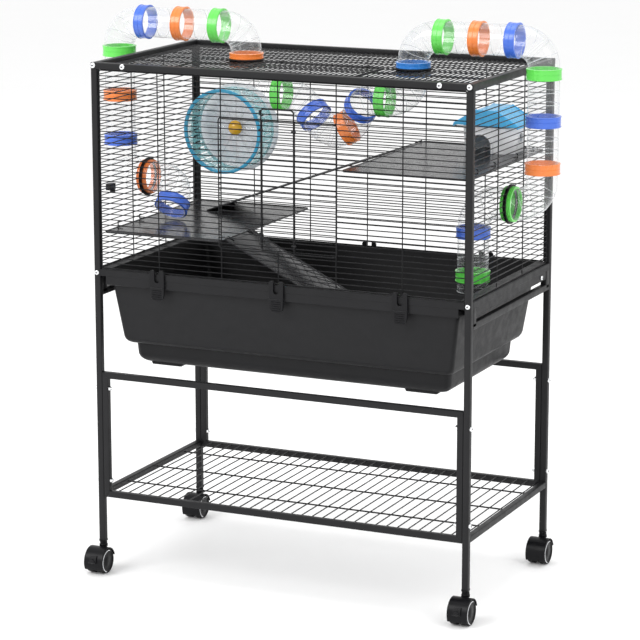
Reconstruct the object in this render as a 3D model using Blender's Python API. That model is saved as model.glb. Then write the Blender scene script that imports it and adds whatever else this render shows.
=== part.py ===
"""Rolling hamster cage: square-tube stand, wire cage on a deep tray, tunnels, wheel and house.

Metres, +Z up, front of the cage towards -Y.  The origin is on the floor, under the centre
of the whole object's box.
"""
import math

import bmesh
import bpy
from mathutils import Matrix, Vector

# ---------------------------------------------------------------- driving dimensions
GAP = 0.0003                 # clearance between neighbouring pieces
WIDTH = 0.800                # outside the legs, along X
DEPTH = 0.440                # outside the legs, along Y
TUBE = 0.0127                # square steel tube
TUBE_WALL = 0.0012
TOP = 1.032                  # top of the upper frame
LEG_BOTTOM = 0.061

HALF_W = WIDTH / 2
HALF_D = DEPTH / 2
IN_W = HALF_W - TUBE         # inner faces of the legs
IN_D = HALF_D - TUBE
LEG_X = HALF_W - TUBE / 2
LEG_Y = HALF_D - TUBE / 2

SHELF_RAIL_Z = 0.1555        # underside of the shelf rails
SHELF_Z = 0.1655             # mid plane of the shelf's grille
MID_RAIL_TOP = 0.4135
SIDE_RAIL_Z = 0.5685         # underside of the rails that carry the tray

RIM_LOW = 0.592              # tray rim band
RIM_STEP = 0.6095
RIM_TOP = 0.6225
TRAY_WALL = 0.0025

WIRE_PANEL = 0.003           # thickness of a wire panel
PANEL_X = LEG_X              # mid planes of the side, front and rear panels
PANEL_Y = LEG_Y
PANEL_LOW = RIM_TOP + GAP
PANEL_HIGH = TOP - TUBE - 2 * GAP
TOP_PANEL_Z = 1.0222         # mid plane of the roof grille
EDGE_WIRE = 0.0030
BAR_WIRE = 0.0022

DOOR_HALF = 0.1215           # front door opening
DOOR_LOW = 0.6885
DOOR_HIGH = 0.9375
DOOR_LAP = 0.0045

TUNNEL_R = 0.0305            # clear tunnel, outside
TUNNEL_WALL = 0.0016
RING_R = 0.0335
RING_LENGTH = 0.021
COLLAR_R = 0.0385            # flanges of the spools that hold a tunnel in a grille
COLLAR_SIDES = 16
COLLAR_CORE = 0.0022
COLLAR_HALF = 0.0050         # from the grille's middle to a flange's face
COLLAR_FLANGE = 0.0032
COLLAR_BORE = (TUNNEL_R + GAP) / math.cos(math.pi / COLLAR_SIDES)
BEND_R = 0.050
BEND_STEPS = 3
CURVE_STEPS = 4
CURVE_PULL = 0.38            # how far a flexible stretch keeps its heading, of its length
TUNNEL_SIDES = 10
RUN_FOOT = 0.013             # clear stretch under the lowest outer ring
PORT_RING = 0.0055           # the part of a port's ring that shows on one side of the panel
ROOF_RING = 0.0110           # the same on the roof
STUB = 0.016                 # clear stretch between an inner port and its elbow's ring
RUN_X = 0.4565               # outer vertical runs, in the cage's middle plane
BRIDGE_Z = 1.0895
PORT_Z = 0.775               # where a run enters a side panel
PORT_Y = 0.0
BASE_XS = {"left": -0.170, "right": 0.189}       # where a run enters the roof

CASTER_TRAIL = 0.018
HOOD_R = 0.0285
HOOD_WALL = 0.0018
CASTER_WHEEL_R = 0.025
CASTER_HALF = 0.0205
CASTER_WEB = 0.0035          # half thickness of the web between the twin wheels
AXLE_R = 0.0030
STEM_R = 0.0040
BRAKE_HALF = 0.008
BRAKE_REACH = 0.0335         # from the wheel axle to the pedal's lip

PLATE = 0.003                # platforms and ramps
LOW_PLATFORM_Z = 0.696       # top faces
HIGH_PLATFORM_Z = 0.852
PLATFORM_W = 0.257
PLATFORM_D = 0.410
PLATFORM_OUT = 0.385
RAMP_LENGTH = 0.460
RAMP_WIDTH = 0.118

WHEEL_X = -0.283
WHEEL_Z = 0.858
WHEEL_R = 0.0875

HOUSE_X = 0.303              # the house stands in the rear right corner
HOUSE_Y = 0.143
HOUSE_W = 0.112
HOUSE_D = 0.090
HOUSE_WALL_H = 0.052
HOUSE_CHAMFER = 0.020

# The casters trail forwards, so the box of the whole object is not centred on the legs.
CLIP_FACE = HALF_D + 0.0068
BOX_SHIFT = (LEG_Y + CASTER_TRAIL + BRAKE_REACH - CLIP_FACE) / 2

PORT_HALF = COLLAR_BORE + COLLAR_CORE + GAP + BAR_WIRE / 2     # bars either side of a port


# ---------------------------------------------------------------- helpers
def clear_scene():
    for old in list(bpy.data.objects):
        bpy.data.objects.remove(old, do_unlink=True)


def material(name, colour, roughness, metallic=0.0, alpha=1.0):
    mat = bpy.data.materials.new(name)
    mat.use_nodes = True
    shader = mat.node_tree.nodes["Principled BSDF"]
    shader.inputs["Base Color"].default_value = (*colour, 1.0)
    shader.inputs["Roughness"].default_value = roughness
    shader.inputs["Metallic"].default_value = metallic
    shader.inputs["Alpha"].default_value = alpha
    return mat


def to_object(bm, name, mat=None, origin=(0, 0, 0), smooth_angle=None):
    """Turns a mesh drawn in place into an object whose origin is at the given point."""
    bmesh.ops.recalc_face_normals(bm, faces=bm.faces)
    bmesh.ops.translate(bm, verts=bm.verts, vec=-Vector(origin))
    mesh = bpy.data.meshes.new(name)
    bm.to_mesh(mesh)
    bm.free()
    if mat:
        mesh.materials.append(mat)
    if smooth_angle:
        mesh.shade_smooth()
        mesh.set_sharp_from_angle(angle=math.radians(smooth_angle))
    obj = bpy.data.objects.new(name, mesh)
    obj.location = origin
    bpy.context.collection.objects.link(obj)
    return obj


def box(low, high, bm=None):
    bm = bm or bmesh.new()
    size = Vector(high) - Vector(low)
    centre = (Vector(high) + Vector(low)) / 2
    place = Matrix.Translation(centre) @ Matrix.Diagonal((*size, 1.0))
    bmesh.ops.create_cube(bm, size=1.0, matrix=place)
    return bm


def square_about(centre, half):
    """Two corners of a box of the given half sizes."""
    return (Vector(centre) - Vector(half), Vector(centre) + Vector(half))


def extrude_outline(points, direction, length):
    """A prism: the outline's points are 3-D, in one plane."""
    bm = bmesh.new()
    face = bm.faces.new([bm.verts.new(p) for p in points])
    made = bmesh.ops.extrude_face_region(bm, geom=[face])
    moved = [g for g in made["geom"] if isinstance(g, bmesh.types.BMVert)]
    bmesh.ops.translate(bm, verts=moved, vec=Vector(direction) * length)
    return bm


def turned(profile, sides, axis="Z", centre=(0, 0, 0)):
    """A turned solid; the profile is (radius, height) pairs round a closed loop.

    A radius of zero puts a point on the axis.
    """
    bm = bmesh.new()
    rings = []
    for radius, height in profile:
        if radius == 0:
            rings.append([bm.verts.new((0, 0, height))])
            continue
        ring = []
        for k in range(sides):
            turn = 2 * math.pi * k / sides
            ring.append(bm.verts.new((radius * math.cos(turn), radius * math.sin(turn), height)))
        rings.append(ring)
    for i, ring in enumerate(rings):
        after = rings[(i + 1) % len(rings)]
        if len(ring) == 1 and len(after) == 1:
            continue
        for k in range(sides):
            n = (k + 1) % sides
            if len(ring) == 1:
                bm.faces.new((ring[0], after[n], after[k]))
            elif len(after) == 1:
                bm.faces.new((ring[k], ring[n], after[0]))
            else:
                bm.faces.new((ring[k], ring[n], after[n], after[k]))
    turn_to = {"X": Matrix.Rotation(math.pi / 2, 4, "Y"),
               "Y": Matrix.Rotation(-math.pi / 2, 4, "X"), "Z": Matrix.Identity(4)}
    bmesh.ops.transform(bm, verts=bm.verts, matrix=Matrix.Translation(centre) @ turn_to[axis])
    return bm


def joined(name, solids, cuts=(), mat=None, origin=(0, 0, 0), smooth_angle=None):
    """One body: the first solid, with the others united to it and the cuts taken out."""
    body = to_object(solids[0], name)
    helpers = []
    for operation, group in (("UNION", solids[1:]), ("DIFFERENCE", cuts)):
        for shape in group:
            helper = to_object(shape, "helper")
            helpers.append(helper)
            modifier = body.modifiers.new(operation.title(), "BOOLEAN")
            modifier.operation = operation
            modifier.object = helper
    bpy.context.view_layer.update()
    result = body.evaluated_get(bpy.context.evaluated_depsgraph_get())
    bm = bmesh.new()
    bm.from_mesh(result.to_mesh())
    for done in helpers + [body]:
        bpy.data.objects.remove(done, do_unlink=True)
    bmesh.ops.dissolve_limit(bm, angle_limit=0.002, verts=bm.verts, edges=bm.edges)
    return to_object(bm, name, mat, origin, smooth_angle)


def lattice(name, place, u_marks, v_marks, thickness, mat, holes=None, origin=(0, 0, 0)):
    """A flat grille made of bars, in one body.

    u_marks and v_marks are (position, bar width) for the bars across each direction, place
    maps (u, v, offset) to a point, and holes(u, v) says that a spot is left fully open.
    """
    edges = []
    for marks in (u_marks, v_marks):
        cuts = []
        for position, width in marks:
            cuts += [position - width / 2, position + width / 2]
        edges.append(cuts)
    us, vs = edges
    bm = bmesh.new()
    grid = {}

    def corner(i, j, side):
        key = (i, j, side)
        if key not in grid:
            grid[key] = bm.verts.new(place(us[i], vs[j], side * thickness / 2))
        return grid[key]

    def solid(i, j):
        if not (0 <= i < len(us) - 1 and 0 <= j < len(vs) - 1):
            return False
        if i % 2 and j % 2:
            return False
        u = (us[i] + us[i + 1]) / 2
        v = (vs[j] + vs[j + 1]) / 2
        return not (holes and holes(u, v))

    for i in range(len(us) - 1):
        for j in range(len(vs) - 1):
            if not solid(i, j):
                continue
            square = [(i, j), (i + 1, j), (i + 1, j + 1), (i, j + 1)]
            for side in (-1, 1):
                bm.faces.new([corner(a, b, side) for a, b in square])
            for k, (di, dj) in enumerate(((0, -1), (1, 0), (0, 1), (-1, 0))):
                if not solid(i + di, j + dj):
                    a, b = square[k], square[(k + 1) % 4]
                    bm.faces.new((corner(*a, -1), corner(*b, -1), corner(*b, 1), corner(*a, 1)))
    return to_object(bm, name, mat, origin)


def even_marks(low, high, count):
    """Bars from low to high with heavier ones at both ends."""
    marks = [(low + EDGE_WIRE / 2, EDGE_WIRE)]
    for k in range(1, count):
        marks.append((low + (high - low) * k / count, BAR_WIRE))
    return marks + [(high - EDGE_WIRE / 2, EDGE_WIRE)]


class Tunnel:
    """The centre line of a tunnel, drawn piece by piece, and the pipe around it."""

    def __init__(self, start, heading):
        self.at = Vector(start)
        self.heading = Vector(heading).normalized()
        self.side = self.heading.orthogonal().normalized()
        self.outer = [(self.at.copy(), self.heading.copy(), self.side.copy(), TUNNEL_R)]
        self.inner = list(self.outer)

    def note(self, radius, inside=True):
        station = (self.at.copy(), self.heading.copy(), self.side.copy(), radius)
        self.outer.append(station)
        if inside:
            self.inner.append(station)

    def aim(self, heading):
        heading = Vector(heading).normalized()
        self.side.rotate(self.heading.rotation_difference(heading))
        self.heading = heading

    def straight(self, length):
        self.at += self.heading * length
        self.note(TUNNEL_R)
        return self

    def ring(self, length=RING_LENGTH):
        self.note(RING_R, inside=False)
        self.at += self.heading * length
        self.note(RING_R, inside=False)
        self.note(TUNNEL_R)
        return self

    def bend(self, towards):
        """A quarter turn towards the given heading."""
        first = self.heading.copy()
        axis = first.cross(Vector(towards)).normalized()
        centre = self.at + axis.cross(first) * BEND_R
        arm = self.at - centre
        for k in range(1, BEND_STEPS + 1):
            turn = Matrix.Rotation(math.pi / 2 * k / BEND_STEPS, 3, axis)
            self.at = centre + turn @ arm
            self.aim(turn @ first)
            self.note(TUNNEL_R)
        return self

    def curve_to(self, point, heading):
        """A smooth flexible stretch to a point and heading."""
        p0, p3 = self.at.copy(), Vector(point)
        reach = (p3 - p0).length * CURVE_PULL
        p1 = p0 + self.heading * reach
        end = Vector(heading).normalized()
        p2 = p3 - end * reach
        for k in range(1, CURVE_STEPS + 1):
            t = k / CURVE_STEPS
            s = 1 - t
            slope = (p1 - p0) * s * s + (p2 - p1) * 2 * s * t + (p3 - p2) * t * t
            self.at = p0 * s ** 3 + p1 * 3 * s * s * t + p2 * 3 * s * t * t + p3 * t ** 3
            self.aim(slope)
            self.note(TUNNEL_R)
        return self

    def ring_at(self, centre, heading):
        """A flexible stretch that ends in a ring with the given centre."""
        start = Vector(centre) - Vector(heading).normalized() * RING_LENGTH / 2
        return self.curve_to(start, heading).ring()

    def pipe(self, name, mat):
        bm = bmesh.new()

        def loops(stations, change):
            made = []
            for at, heading, side, radius in stations:
                other = heading.cross(side)
                ring = []
                for k in range(TUNNEL_SIDES):
                    turn = 2 * math.pi * k / TUNNEL_SIDES
                    reach = (radius + change) * (side * math.cos(turn) + other * math.sin(turn))
                    ring.append(bm.verts.new(at + reach))
                made.append(ring)
            return made

        outside = loops(self.outer, 0)
        inside = loops(self.inner, -TUNNEL_WALL)
        loop = outside + inside[::-1]
        for i, ring in enumerate(loop):
            after = loop[(i + 1) % len(loop)]
            for k in range(TUNNEL_SIDES):
                n = (k + 1) % TUNNEL_SIDES
                bm.faces.new((ring[k], ring[n], after[n], after[k]))
        return to_object(bm, name, mat, smooth_angle=40)


def rounded_rectangle(half_x, half_y, radius, z, steps=3):
    points = []
    for quarter, (sx, sy) in enumerate(((1, 1), (-1, 1), (-1, -1), (1, -1))):
        for k in range(steps + 1):
            turn = math.pi / 2 * (quarter + k / steps)
            points.append((sx * (half_x - radius) + radius * math.cos(turn),
                           sy * (half_y - radius) + radius * math.sin(turn), z))
    return points


def lofted(rings):
    """A shell through rings with equal point counts, closed from the last back to the first."""
    bm = bmesh.new()
    made = [[bm.verts.new(p) for p in ring] for ring in rings]
    count = len(made[0])
    bm.faces.new(made[0])
    bm.faces.new(made[-1])
    for lower, upper in zip(made, made[1:]):
        for k in range(count):
            n = (k + 1) % count
            bm.faces.new((lower[k], lower[n], upper[n], upper[k]))
    return bm


# ---------------------------------------------------------------- materials
def make_materials():
    return {
        "steel": material("black_powder_coat", (0.035, 0.035, 0.037), 0.45),
        "wire": material("black_wire", (0.02, 0.02, 0.022), 0.40),
        "tray": material("tray_plastic", (0.030, 0.030, 0.031), 0.50),
        "plastic": material("black_plastic", (0.018, 0.018, 0.019), 0.45),
        "platform": material("grey_platform", (0.16, 0.16, 0.165), 0.22),
        "clear": material("clear_plastic", (0.90, 0.91, 0.92), 0.06, alpha=0.3),
        "orange": material("orange_plastic", (0.74, 0.20, 0.04), 0.35),
        "blue": material("blue_plastic", (0.06, 0.16, 0.60), 0.35),
        "cyan": material("cyan_plastic", (0.10, 0.42, 0.52), 0.25, alpha=0.8),
        "frost": material("frosted_plastic", (0.62, 0.65, 0.70), 0.35, alpha=0.6),
        "amber": material("amber_plastic", (0.70, 0.36, 0.02), 0.25),
        "roof": material("sky_blue_plastic", (0.07, 0.45, 0.78), 0.30),
        "wall": material("milky_plastic", (0.72, 0.73, 0.75), 0.35),
    }


# ---------------------------------------------------------------- stand
CORNERS = {"front_left": (-1, -1), "front_right": (1, -1),
           "rear_left": (-1, 1), "rear_right": (1, 1)}


def make_legs(mats):
    for name, (sx, sy) in CORNERS.items():
        high = TOP - TUBE - GAP
        bm = bmesh.new()
        loops = []
        for half, z in ((TUBE / 2, LEG_BOTTOM), (TUBE / 2, high),
                        (TUBE / 2 - TUBE_WALL, high), (TUBE / 2 - TUBE_WALL, LEG_BOTTOM)):
            centre = (sx * LEG_X, sy * LEG_Y)
            loops.append([bm.verts.new((centre[0] + a * half, centre[1] + b * half, z))
                          for a, b in ((-1, -1), (1, -1), (1, 1), (-1, 1))])
        for i in range(4):
            for k in range(4):
                n = (k + 1) % 4
                after = loops[(i + 1) % 4]
                bm.faces.new((loops[i][k], loops[i][n], after[n], after[k]))
        to_object(bm, "leg_" + name, mats["steel"])


def rectangle_frame(name, place, half_u, low_v, high_v, bar, thickness, mat):
    """Four welded tubes round an opening."""
    u_marks = [(-half_u + bar / 2, bar), (half_u - bar / 2, bar)]
    v_marks = [(low_v + bar / 2, bar), (high_v - bar / 2, bar)]
    return lattice(name, place, u_marks, v_marks, thickness, mat)


def make_frames(mats):
    steel = mats["steel"]
    rectangle_frame("top_frame", lambda u, v, w: (u, v, TOP - TUBE / 2 + w),
                    HALF_W, -HALF_D, HALF_D, TUBE, TUBE, steel)
    for name, side in (("front", -1), ("rear", 1)):
        rectangle_frame(name + "_lower_frame", lambda u, v, w, s=side: (u, s * LEG_Y + w, v),
                        IN_W - GAP, SHELF_RAIL_Z, MID_RAIL_TOP, TUBE, TUBE, steel)
    for name, side in (("left", -1), ("right", 1)):
        outer, inner = side * HALF_W, side * IN_W
        xs = sorted((outer, inner))
        reach = IN_D - GAP
        to_object(box((xs[0], -reach, SHELF_RAIL_Z), (xs[1], reach, SHELF_RAIL_Z + TUBE)),
                  "shelf_rail_" + name, steel)
        stub = 0.0165
        rail_top = SIDE_RAIL_Z + TUBE
        stub_top = RIM_STEP - GAP
        outline = [(-reach, SIDE_RAIL_Z), (reach, SIDE_RAIL_Z), (reach, stub_top),
                   (reach - stub, stub_top), (reach - stub, rail_top),
                   (-reach + stub, rail_top), (-reach + stub, stub_top), (-reach, stub_top)]
        prism = extrude_outline([(xs[0], y, z) for y, z in outline], (1, 0, 0), TUBE)
        to_object(prism, "tray_rail_" + name, steel)
    lattice("shelf_grille", lambda u, v, w: (u, v, SHELF_Z + w),
            even_marks(-IN_W + GAP, IN_W - GAP, 15), even_marks(-IN_D + GAP, IN_D - GAP, 3),
            WIRE_PANEL, mats["wire"])


# ---------------------------------------------------------------- casters
def arc(radius, start, stop, steps, centre_y, centre_z):
    """Points round part of a circle in the YZ plane; angles in degrees from +Y towards +Z."""
    points = []
    for k in range(steps + 1):
        turn = math.radians(start + (stop - start) * k / steps)
        points.append((centre_y + radius * math.cos(turn), centre_z + radius * math.sin(turn)))
    return points


def band_outline(outer, inner, start, stop, steps, centre_y, centre_z):
    """A band of even thickness round part of a circle."""
    there = arc(outer, start, stop, steps, centre_y, centre_z)
    back = arc(inner, stop, start, steps, centre_y, centre_z)
    return there + back


def make_casters(mats):
    black = mats["plastic"]
    axle_z = CASTER_WHEEL_R
    collar_low = 0.0520
    for name, (sx, sy) in CORNERS.items():
        x, y = sx * LEG_X, sy * LEG_Y
        hub_y = y - CASTER_TRAIL
        boss = 0.0085
        stem = turned([(0, collar_low), (boss, collar_low), (boss, LEG_BOTTOM - GAP),
                       (STEM_R, LEG_BOTTOM - GAP), (STEM_R, 0.098), (0, 0.098)],
                      12, "Z", (x, y, 0))
        band = extrude_outline([(x - CASTER_HALF, a, b) for a, b in
                                band_outline(HOOD_R, HOOD_R - HOOD_WALL, 15, 212, 10,
                                             hub_y, axle_z)],
                               (1, 0, 0), 2 * CASTER_HALF)
        fin = arc(HOOD_R - HOOD_WALL / 2, 212, 66, 8, hub_y, axle_z)
        fin += [(y - boss, collar_low + 0.001), (y + boss, collar_low + 0.001),
                (y + boss, 0.034), (hub_y + 0.006, 0.018), (hub_y - 0.006, 0.016)]
        web = extrude_outline([(x - CASTER_WEB, a, b) for a, b in fin],
                              (1, 0, 0), 2 * CASTER_WEB)
        bore = turned([(AXLE_R + 0.0004, -0.01), (AXLE_R + 0.0004, 0.01), (0, 0.01),
                       (0, -0.01)], 12, "X", (x, hub_y, axle_z))
        joined("caster_housing_" + name, [web, band, stem], [bore], black,
               origin=(x, y, LEG_BOTTOM), smooth_angle=35)
        half = CASTER_HALF - 0.0006
        inside = CASTER_WEB + 0.0010
        edge = CASTER_WHEEL_R - 0.0015
        wheels = turned([(0, -half), (edge, -half), (CASTER_WHEEL_R, -half + 0.003),
                         (CASTER_WHEEL_R, -inside - 0.002), (edge, -inside),
                         (AXLE_R, -inside), (AXLE_R, inside), (edge, inside),
                         (CASTER_WHEEL_R, inside + 0.002), (CASTER_WHEEL_R, half - 0.003),
                         (edge, half), (0, half)],
                        16, "X", (x, hub_y, axle_z))
        to_object(wheels, "caster_wheels_" + name, black, origin=(x, hub_y, axle_z),
                  smooth_angle=35)
        if sy < 0:
            make_brake(name, x, hub_y, axle_z, black)


def make_brake(name, x, hub_y, hub_z, mat):
    """A pedal on the front of the hood, pressed down round the axle to lock the wheels."""
    inner, outer = HOOD_R + GAP, HOOD_R + 0.0026
    outline = band_outline(outer, inner, 146, 176, 3, hub_y, hub_z)
    pedal = extrude_outline([(x - BRAKE_HALF, a, b) for a, b in outline],
                            (1, 0, 0), 2 * BRAKE_HALF)
    lip = box((x - BRAKE_HALF, hub_y - BRAKE_REACH, hub_z + 0.0018),
              (x + BRAKE_HALF, hub_y - outer + 0.0008, hub_z + 0.0044))
    joined("caster_brake_" + name, [pedal, lip], (), mat, origin=(x, hub_y, hub_z))


# ---------------------------------------------------------------- tray and its clips
def make_tray(mats):
    """Each ring is (half width, half depth, corner radius, height)."""
    wall = TRAY_WALL
    outside = [(0.312, 0.142, 0.020, 0.4275), (0.328, 0.158, 0.028, 0.4345),
               (0.3375, 0.1675, 0.034, 0.449), (0.339, 0.169, 0.034, 0.470),
               (0.346, 0.184, 0.022, 0.4735), (0.3535, 0.192, 0.018, 0.484),
               (0.369, 0.2055, 0.014, RIM_LOW), (HALF_W, HALF_D, 0.002, RIM_LOW),
               (HALF_W, HALF_D, 0.002, RIM_TOP)]
    inside = [(0.372 - wall, 0.2080 - wall, 0.014, RIM_TOP),
              (0.3535 - wall, 0.192 - wall, 0.018, 0.484 + wall),
              (0.343 - wall, 0.177, 0.022, 0.470 + wall + 0.003),
              (0.339 - wall, 0.169 - wall, 0.034, 0.470),
              (0.3375 - wall, 0.1675 - wall, 0.034, 0.449 + wall / 2),
              (0.326 - wall, 0.156 - wall, 0.028, 0.4345 + wall),
              (0.308, 0.138, 0.020, 0.4275 + wall)]
    shell = lofted([rounded_rectangle(*ring) for ring in outside + inside])
    cuts = []
    for sx, sy in CORNERS.values():
        leg = ((IN_W - GAP, IN_D - GAP, RIM_LOW - 0.01), (HALF_W + 0.01, HALF_D + 0.01, TOP))
        stub = ((0.3745, 0.1890, RIM_LOW - 0.01), (HALF_W + 0.01, HALF_D + 0.01, RIM_STEP))
        for low, high in (leg, stub):
            xs = sorted((sx * low[0], sx * high[0]))
            ys = sorted((sy * low[1], sy * high[1]))
            cuts.append(box((xs[0], ys[0], low[2]), (xs[1], ys[1], high[2])))
    feet = []
    for sx, sy in CORNERS.values():
        low, high = square_about((sx * 0.270, sy * 0.125, 0.4262), (0.034, 0.012, 0.0030))
        feet.append(box(low, high))
    joined("tray", [shell] + feet, cuts, mats["tray"], smooth_angle=30)


CLIP_XS = {"left": -0.258, "centre": 0.0, "right": 0.258}
CLIP_HALF = 0.0155
CLIP_PIVOT_OUT = 0.0035      # the clip turns under the rim's lower edge
CLIP_PIVOT_Z = RIM_LOW - 0.002
CLIP_LOW = 0.5695
CLIP_HIGH = 0.6315
CLIP_ROUND = 0.010           # height of the rounded lower end
CLIP_SLOT = 0.0060           # half width of the slot in the upper end
CLIP_SLOT_DEPTH = 0.020


def make_clips(mats):
    for row, side in (("front", -1), ("rear", 1)):
        for place, x in CLIP_XS.items():
            slot = CLIP_SLOT
            slot_low = CLIP_HIGH - CLIP_SLOT_DEPTH
            outline = []
            for k in range(7):
                turn = math.pi * (1 + k / 6)
                outline.append((x + CLIP_HALF * math.cos(turn),
                                CLIP_LOW + CLIP_ROUND * (1 + math.sin(turn))))
            outline += [(x + CLIP_HALF, CLIP_HIGH), (x + slot, CLIP_HIGH)]
            for k in range(5):
                turn = -math.pi * k / 4
                outline.append((x + slot * math.cos(turn), slot_low + slot * math.sin(turn)))
            outline += [(x - slot, CLIP_HIGH), (x - CLIP_HALF, CLIP_HIGH)]
            face = side * (HALF_D + GAP)
            plate = extrude_outline([(a, face, b) for a, b in outline],
                                    (0, side, 0), CLIP_FACE - HALF_D - GAP)
            pivot = (x, side * (HALF_D + CLIP_PIVOT_OUT), CLIP_PIVOT_Z)
            to_object(plate, "tray_clip_%s_%s" % (row, place), mats["plastic"], origin=pivot)


# ---------------------------------------------------------------- wire panels and doors
ROW_MARKS = (0.655, DOOR_LOW, 0.738, 0.788, 0.838, 0.888, DOOR_HIGH, 0.978)


def upright_marks():
    rows = [(PANEL_LOW + EDGE_WIRE / 2, EDGE_WIRE)]
    rows += [(z, BAR_WIRE) for z in ROW_MARKS]
    return rows + [(PANEL_HIGH - EDGE_WIRE / 2, EDGE_WIRE)]


def make_panels(mats):
    wire = mats["wire"]
    half_w, half_d = IN_W - GAP, IN_D - GAP
    columns = [(-half_w + EDGE_WIRE / 2, EDGE_WIRE)]
    columns += [(x, BAR_WIRE) for x in (-0.258, -DOOR_HALF, DOOR_HALF, 0.258)]
    columns += [(half_w - EDGE_WIRE / 2, EDGE_WIRE)]

    def doorway(u, v):
        return abs(u) < DOOR_HALF - 0.002 and DOOR_LOW + 0.002 < v < DOOR_HIGH - 0.002

    lattice("front_panel", lambda u, v, w: (u, -PANEL_Y + w, v), columns, upright_marks(),
            WIRE_PANEL, wire, doorway)
    lattice("rear_panel", lambda u, v, w: (u, PANEL_Y + w, v),
            even_marks(-half_w, half_w, 4), upright_marks(), WIRE_PANEL, wire)
    low, high = PORT_Z - PORT_HALF, PORT_Z + PORT_HALF
    rows = [(PANEL_LOW + EDGE_WIRE / 2, EDGE_WIRE)]
    rows += [(PANEL_LOW + (low - PANEL_LOW) * k / 3, BAR_WIRE) for k in (1, 2, 3)]
    rows += [(high + (PANEL_HIGH - high) * k / 5, BAR_WIRE) for k in range(5)]
    rows += [(PANEL_HIGH - EDGE_WIRE / 2, EDGE_WIRE)]
    posts = even_marks(-half_d, half_d, 3)
    for name, side in (("left", -1), ("right", 1)):
        lattice(name + "_panel", lambda u, v, w, s=side: (s * PANEL_X + w, u, v),
                posts, rows, WIRE_PANEL, wire)


TOP_DOOR = (-0.118, 0.136, -0.185, -0.020)      # left, right, front and hinge edges
TOP_DOOR_Z = TOP_PANEL_Z + WIRE_PANEL + GAP


def make_top_panel(mats):
    half_w, half_d = IN_W - GAP, IN_D - GAP
    lap = 0.006
    left, right, front, back = TOP_DOOR
    xs = [-half_w + EDGE_WIRE / 2, -0.330, -0.268, left + lap, -0.054, 0.009, 0.072,
          right - lap, 0.278, 0.333, half_w - EDGE_WIRE / 2]
    for base in BASE_XS.values():
        xs += [base - PORT_HALF, base + PORT_HALF]
    xs.sort()
    ys = [-half_d + EDGE_WIRE / 2, front + lap, -0.105, PORT_Y - PORT_HALF,
          PORT_Y + PORT_HALF, 0.120, half_d - EDGE_WIRE / 2]
    u_marks = [(x, EDGE_WIRE if abs(x) > 0.35 else BAR_WIRE) for x in xs]
    v_marks = [(y, EDGE_WIRE if abs(y) > 0.20 else BAR_WIRE) for y in ys]

    def hatch(u, v):
        return left + lap + 0.002 < u < right - lap - 0.002 and \
            front + lap + 0.002 < v < PORT_Y - PORT_HALF - 0.002

    lattice("top_panel", lambda u, v, w: (u, v, TOP_PANEL_Z + w), u_marks, v_marks,
            WIRE_PANEL, mats["wire"], hatch)
    lattice("top_door", lambda u, v, w: (u, v, TOP_DOOR_Z + w),
            even_marks(left, right, 5), even_marks(front, back, 3), WIRE_PANEL,
            mats["wire"], origin=(0, back, TOP_DOOR_Z))
    latch_x, latch_half = -0.005, 0.032
    low, high = square_about((latch_x, front - 0.0045, TOP_DOOR_Z + 0.002),
                             (latch_half, 0.0040, 0.0032))
    to_object(box(low, high), "top_door_latch", mats["plastic"],
              origin=(latch_x, front - 0.0045, TOP_DOOR_Z + 0.002))


DOOR_Y = -PANEL_Y - WIRE_PANEL - GAP
LATCH_Y = DOOR_Y - WIRE_PANEL - GAP
LATCH_XS = (-0.032, 0.0365)
LATCH_TOP = 0.9635


def make_front_door(mats):
    low, high = DOOR_LOW - DOOR_LAP, DOOR_HIGH + DOOR_LAP
    half = DOOR_HALF + DOOR_LAP
    lattice("front_door", lambda u, v, w: (u, DOOR_Y + w, v),
            even_marks(-half, half, 2), even_marks(low, high, 5), WIRE_PANEL, mats["wire"],
            origin=(0, DOOR_Y, low))
    wire = 0.0028
    left, right = LATCH_XS
    foot = DOOR_LOW + 0.004
    outline = [(left - wire / 2, foot), (left - wire / 2, LATCH_TOP),
               (right + wire / 2, LATCH_TOP), (right + wire / 2, foot),
               (right - wire / 2, foot), (right - wire / 2, LATCH_TOP - wire),
               (left + wire / 2, LATCH_TOP - wire), (left + wire / 2, foot)]
    bar = extrude_outline([(a, LATCH_Y - wire / 2, b) for a, b in outline], (0, 1, 0), wire)
    to_object(bar, "front_door_latch", mats["wire"], origin=(0, LATCH_Y, LATCH_TOP))


# ---------------------------------------------------------------- tunnels
def collar_profile(inner_radius):
    """A spool that holds a wire panel between two flanges."""
    core = inner_radius + COLLAR_CORE
    half = COLLAR_HALF - COLLAR_FLANGE
    return [(inner_radius, -COLLAR_HALF), (COLLAR_R, -COLLAR_HALF), (COLLAR_R, -half),
            (core, -half), (core, half), (COLLAR_R, half),
            (COLLAR_R, COLLAR_HALF), (inner_radius, COLLAR_HALF)]


def make_collars(mats):
    profile = collar_profile(COLLAR_BORE)
    for name, side, mat in (("left", -1, "orange"), ("right", 1, "blue")):
        to_object(turned(profile, COLLAR_SIDES, "X", (side * PANEL_X, PORT_Y, PORT_Z)),
                  "side_port_collar_" + name, mats["plastic"], smooth_angle=35)
        to_object(turned(profile, COLLAR_SIDES, "Z", (BASE_XS[name], PORT_Y, TOP_PANEL_Z)),
                  "roof_port_collar_" + name, mats[mat], smooth_angle=35)


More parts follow.
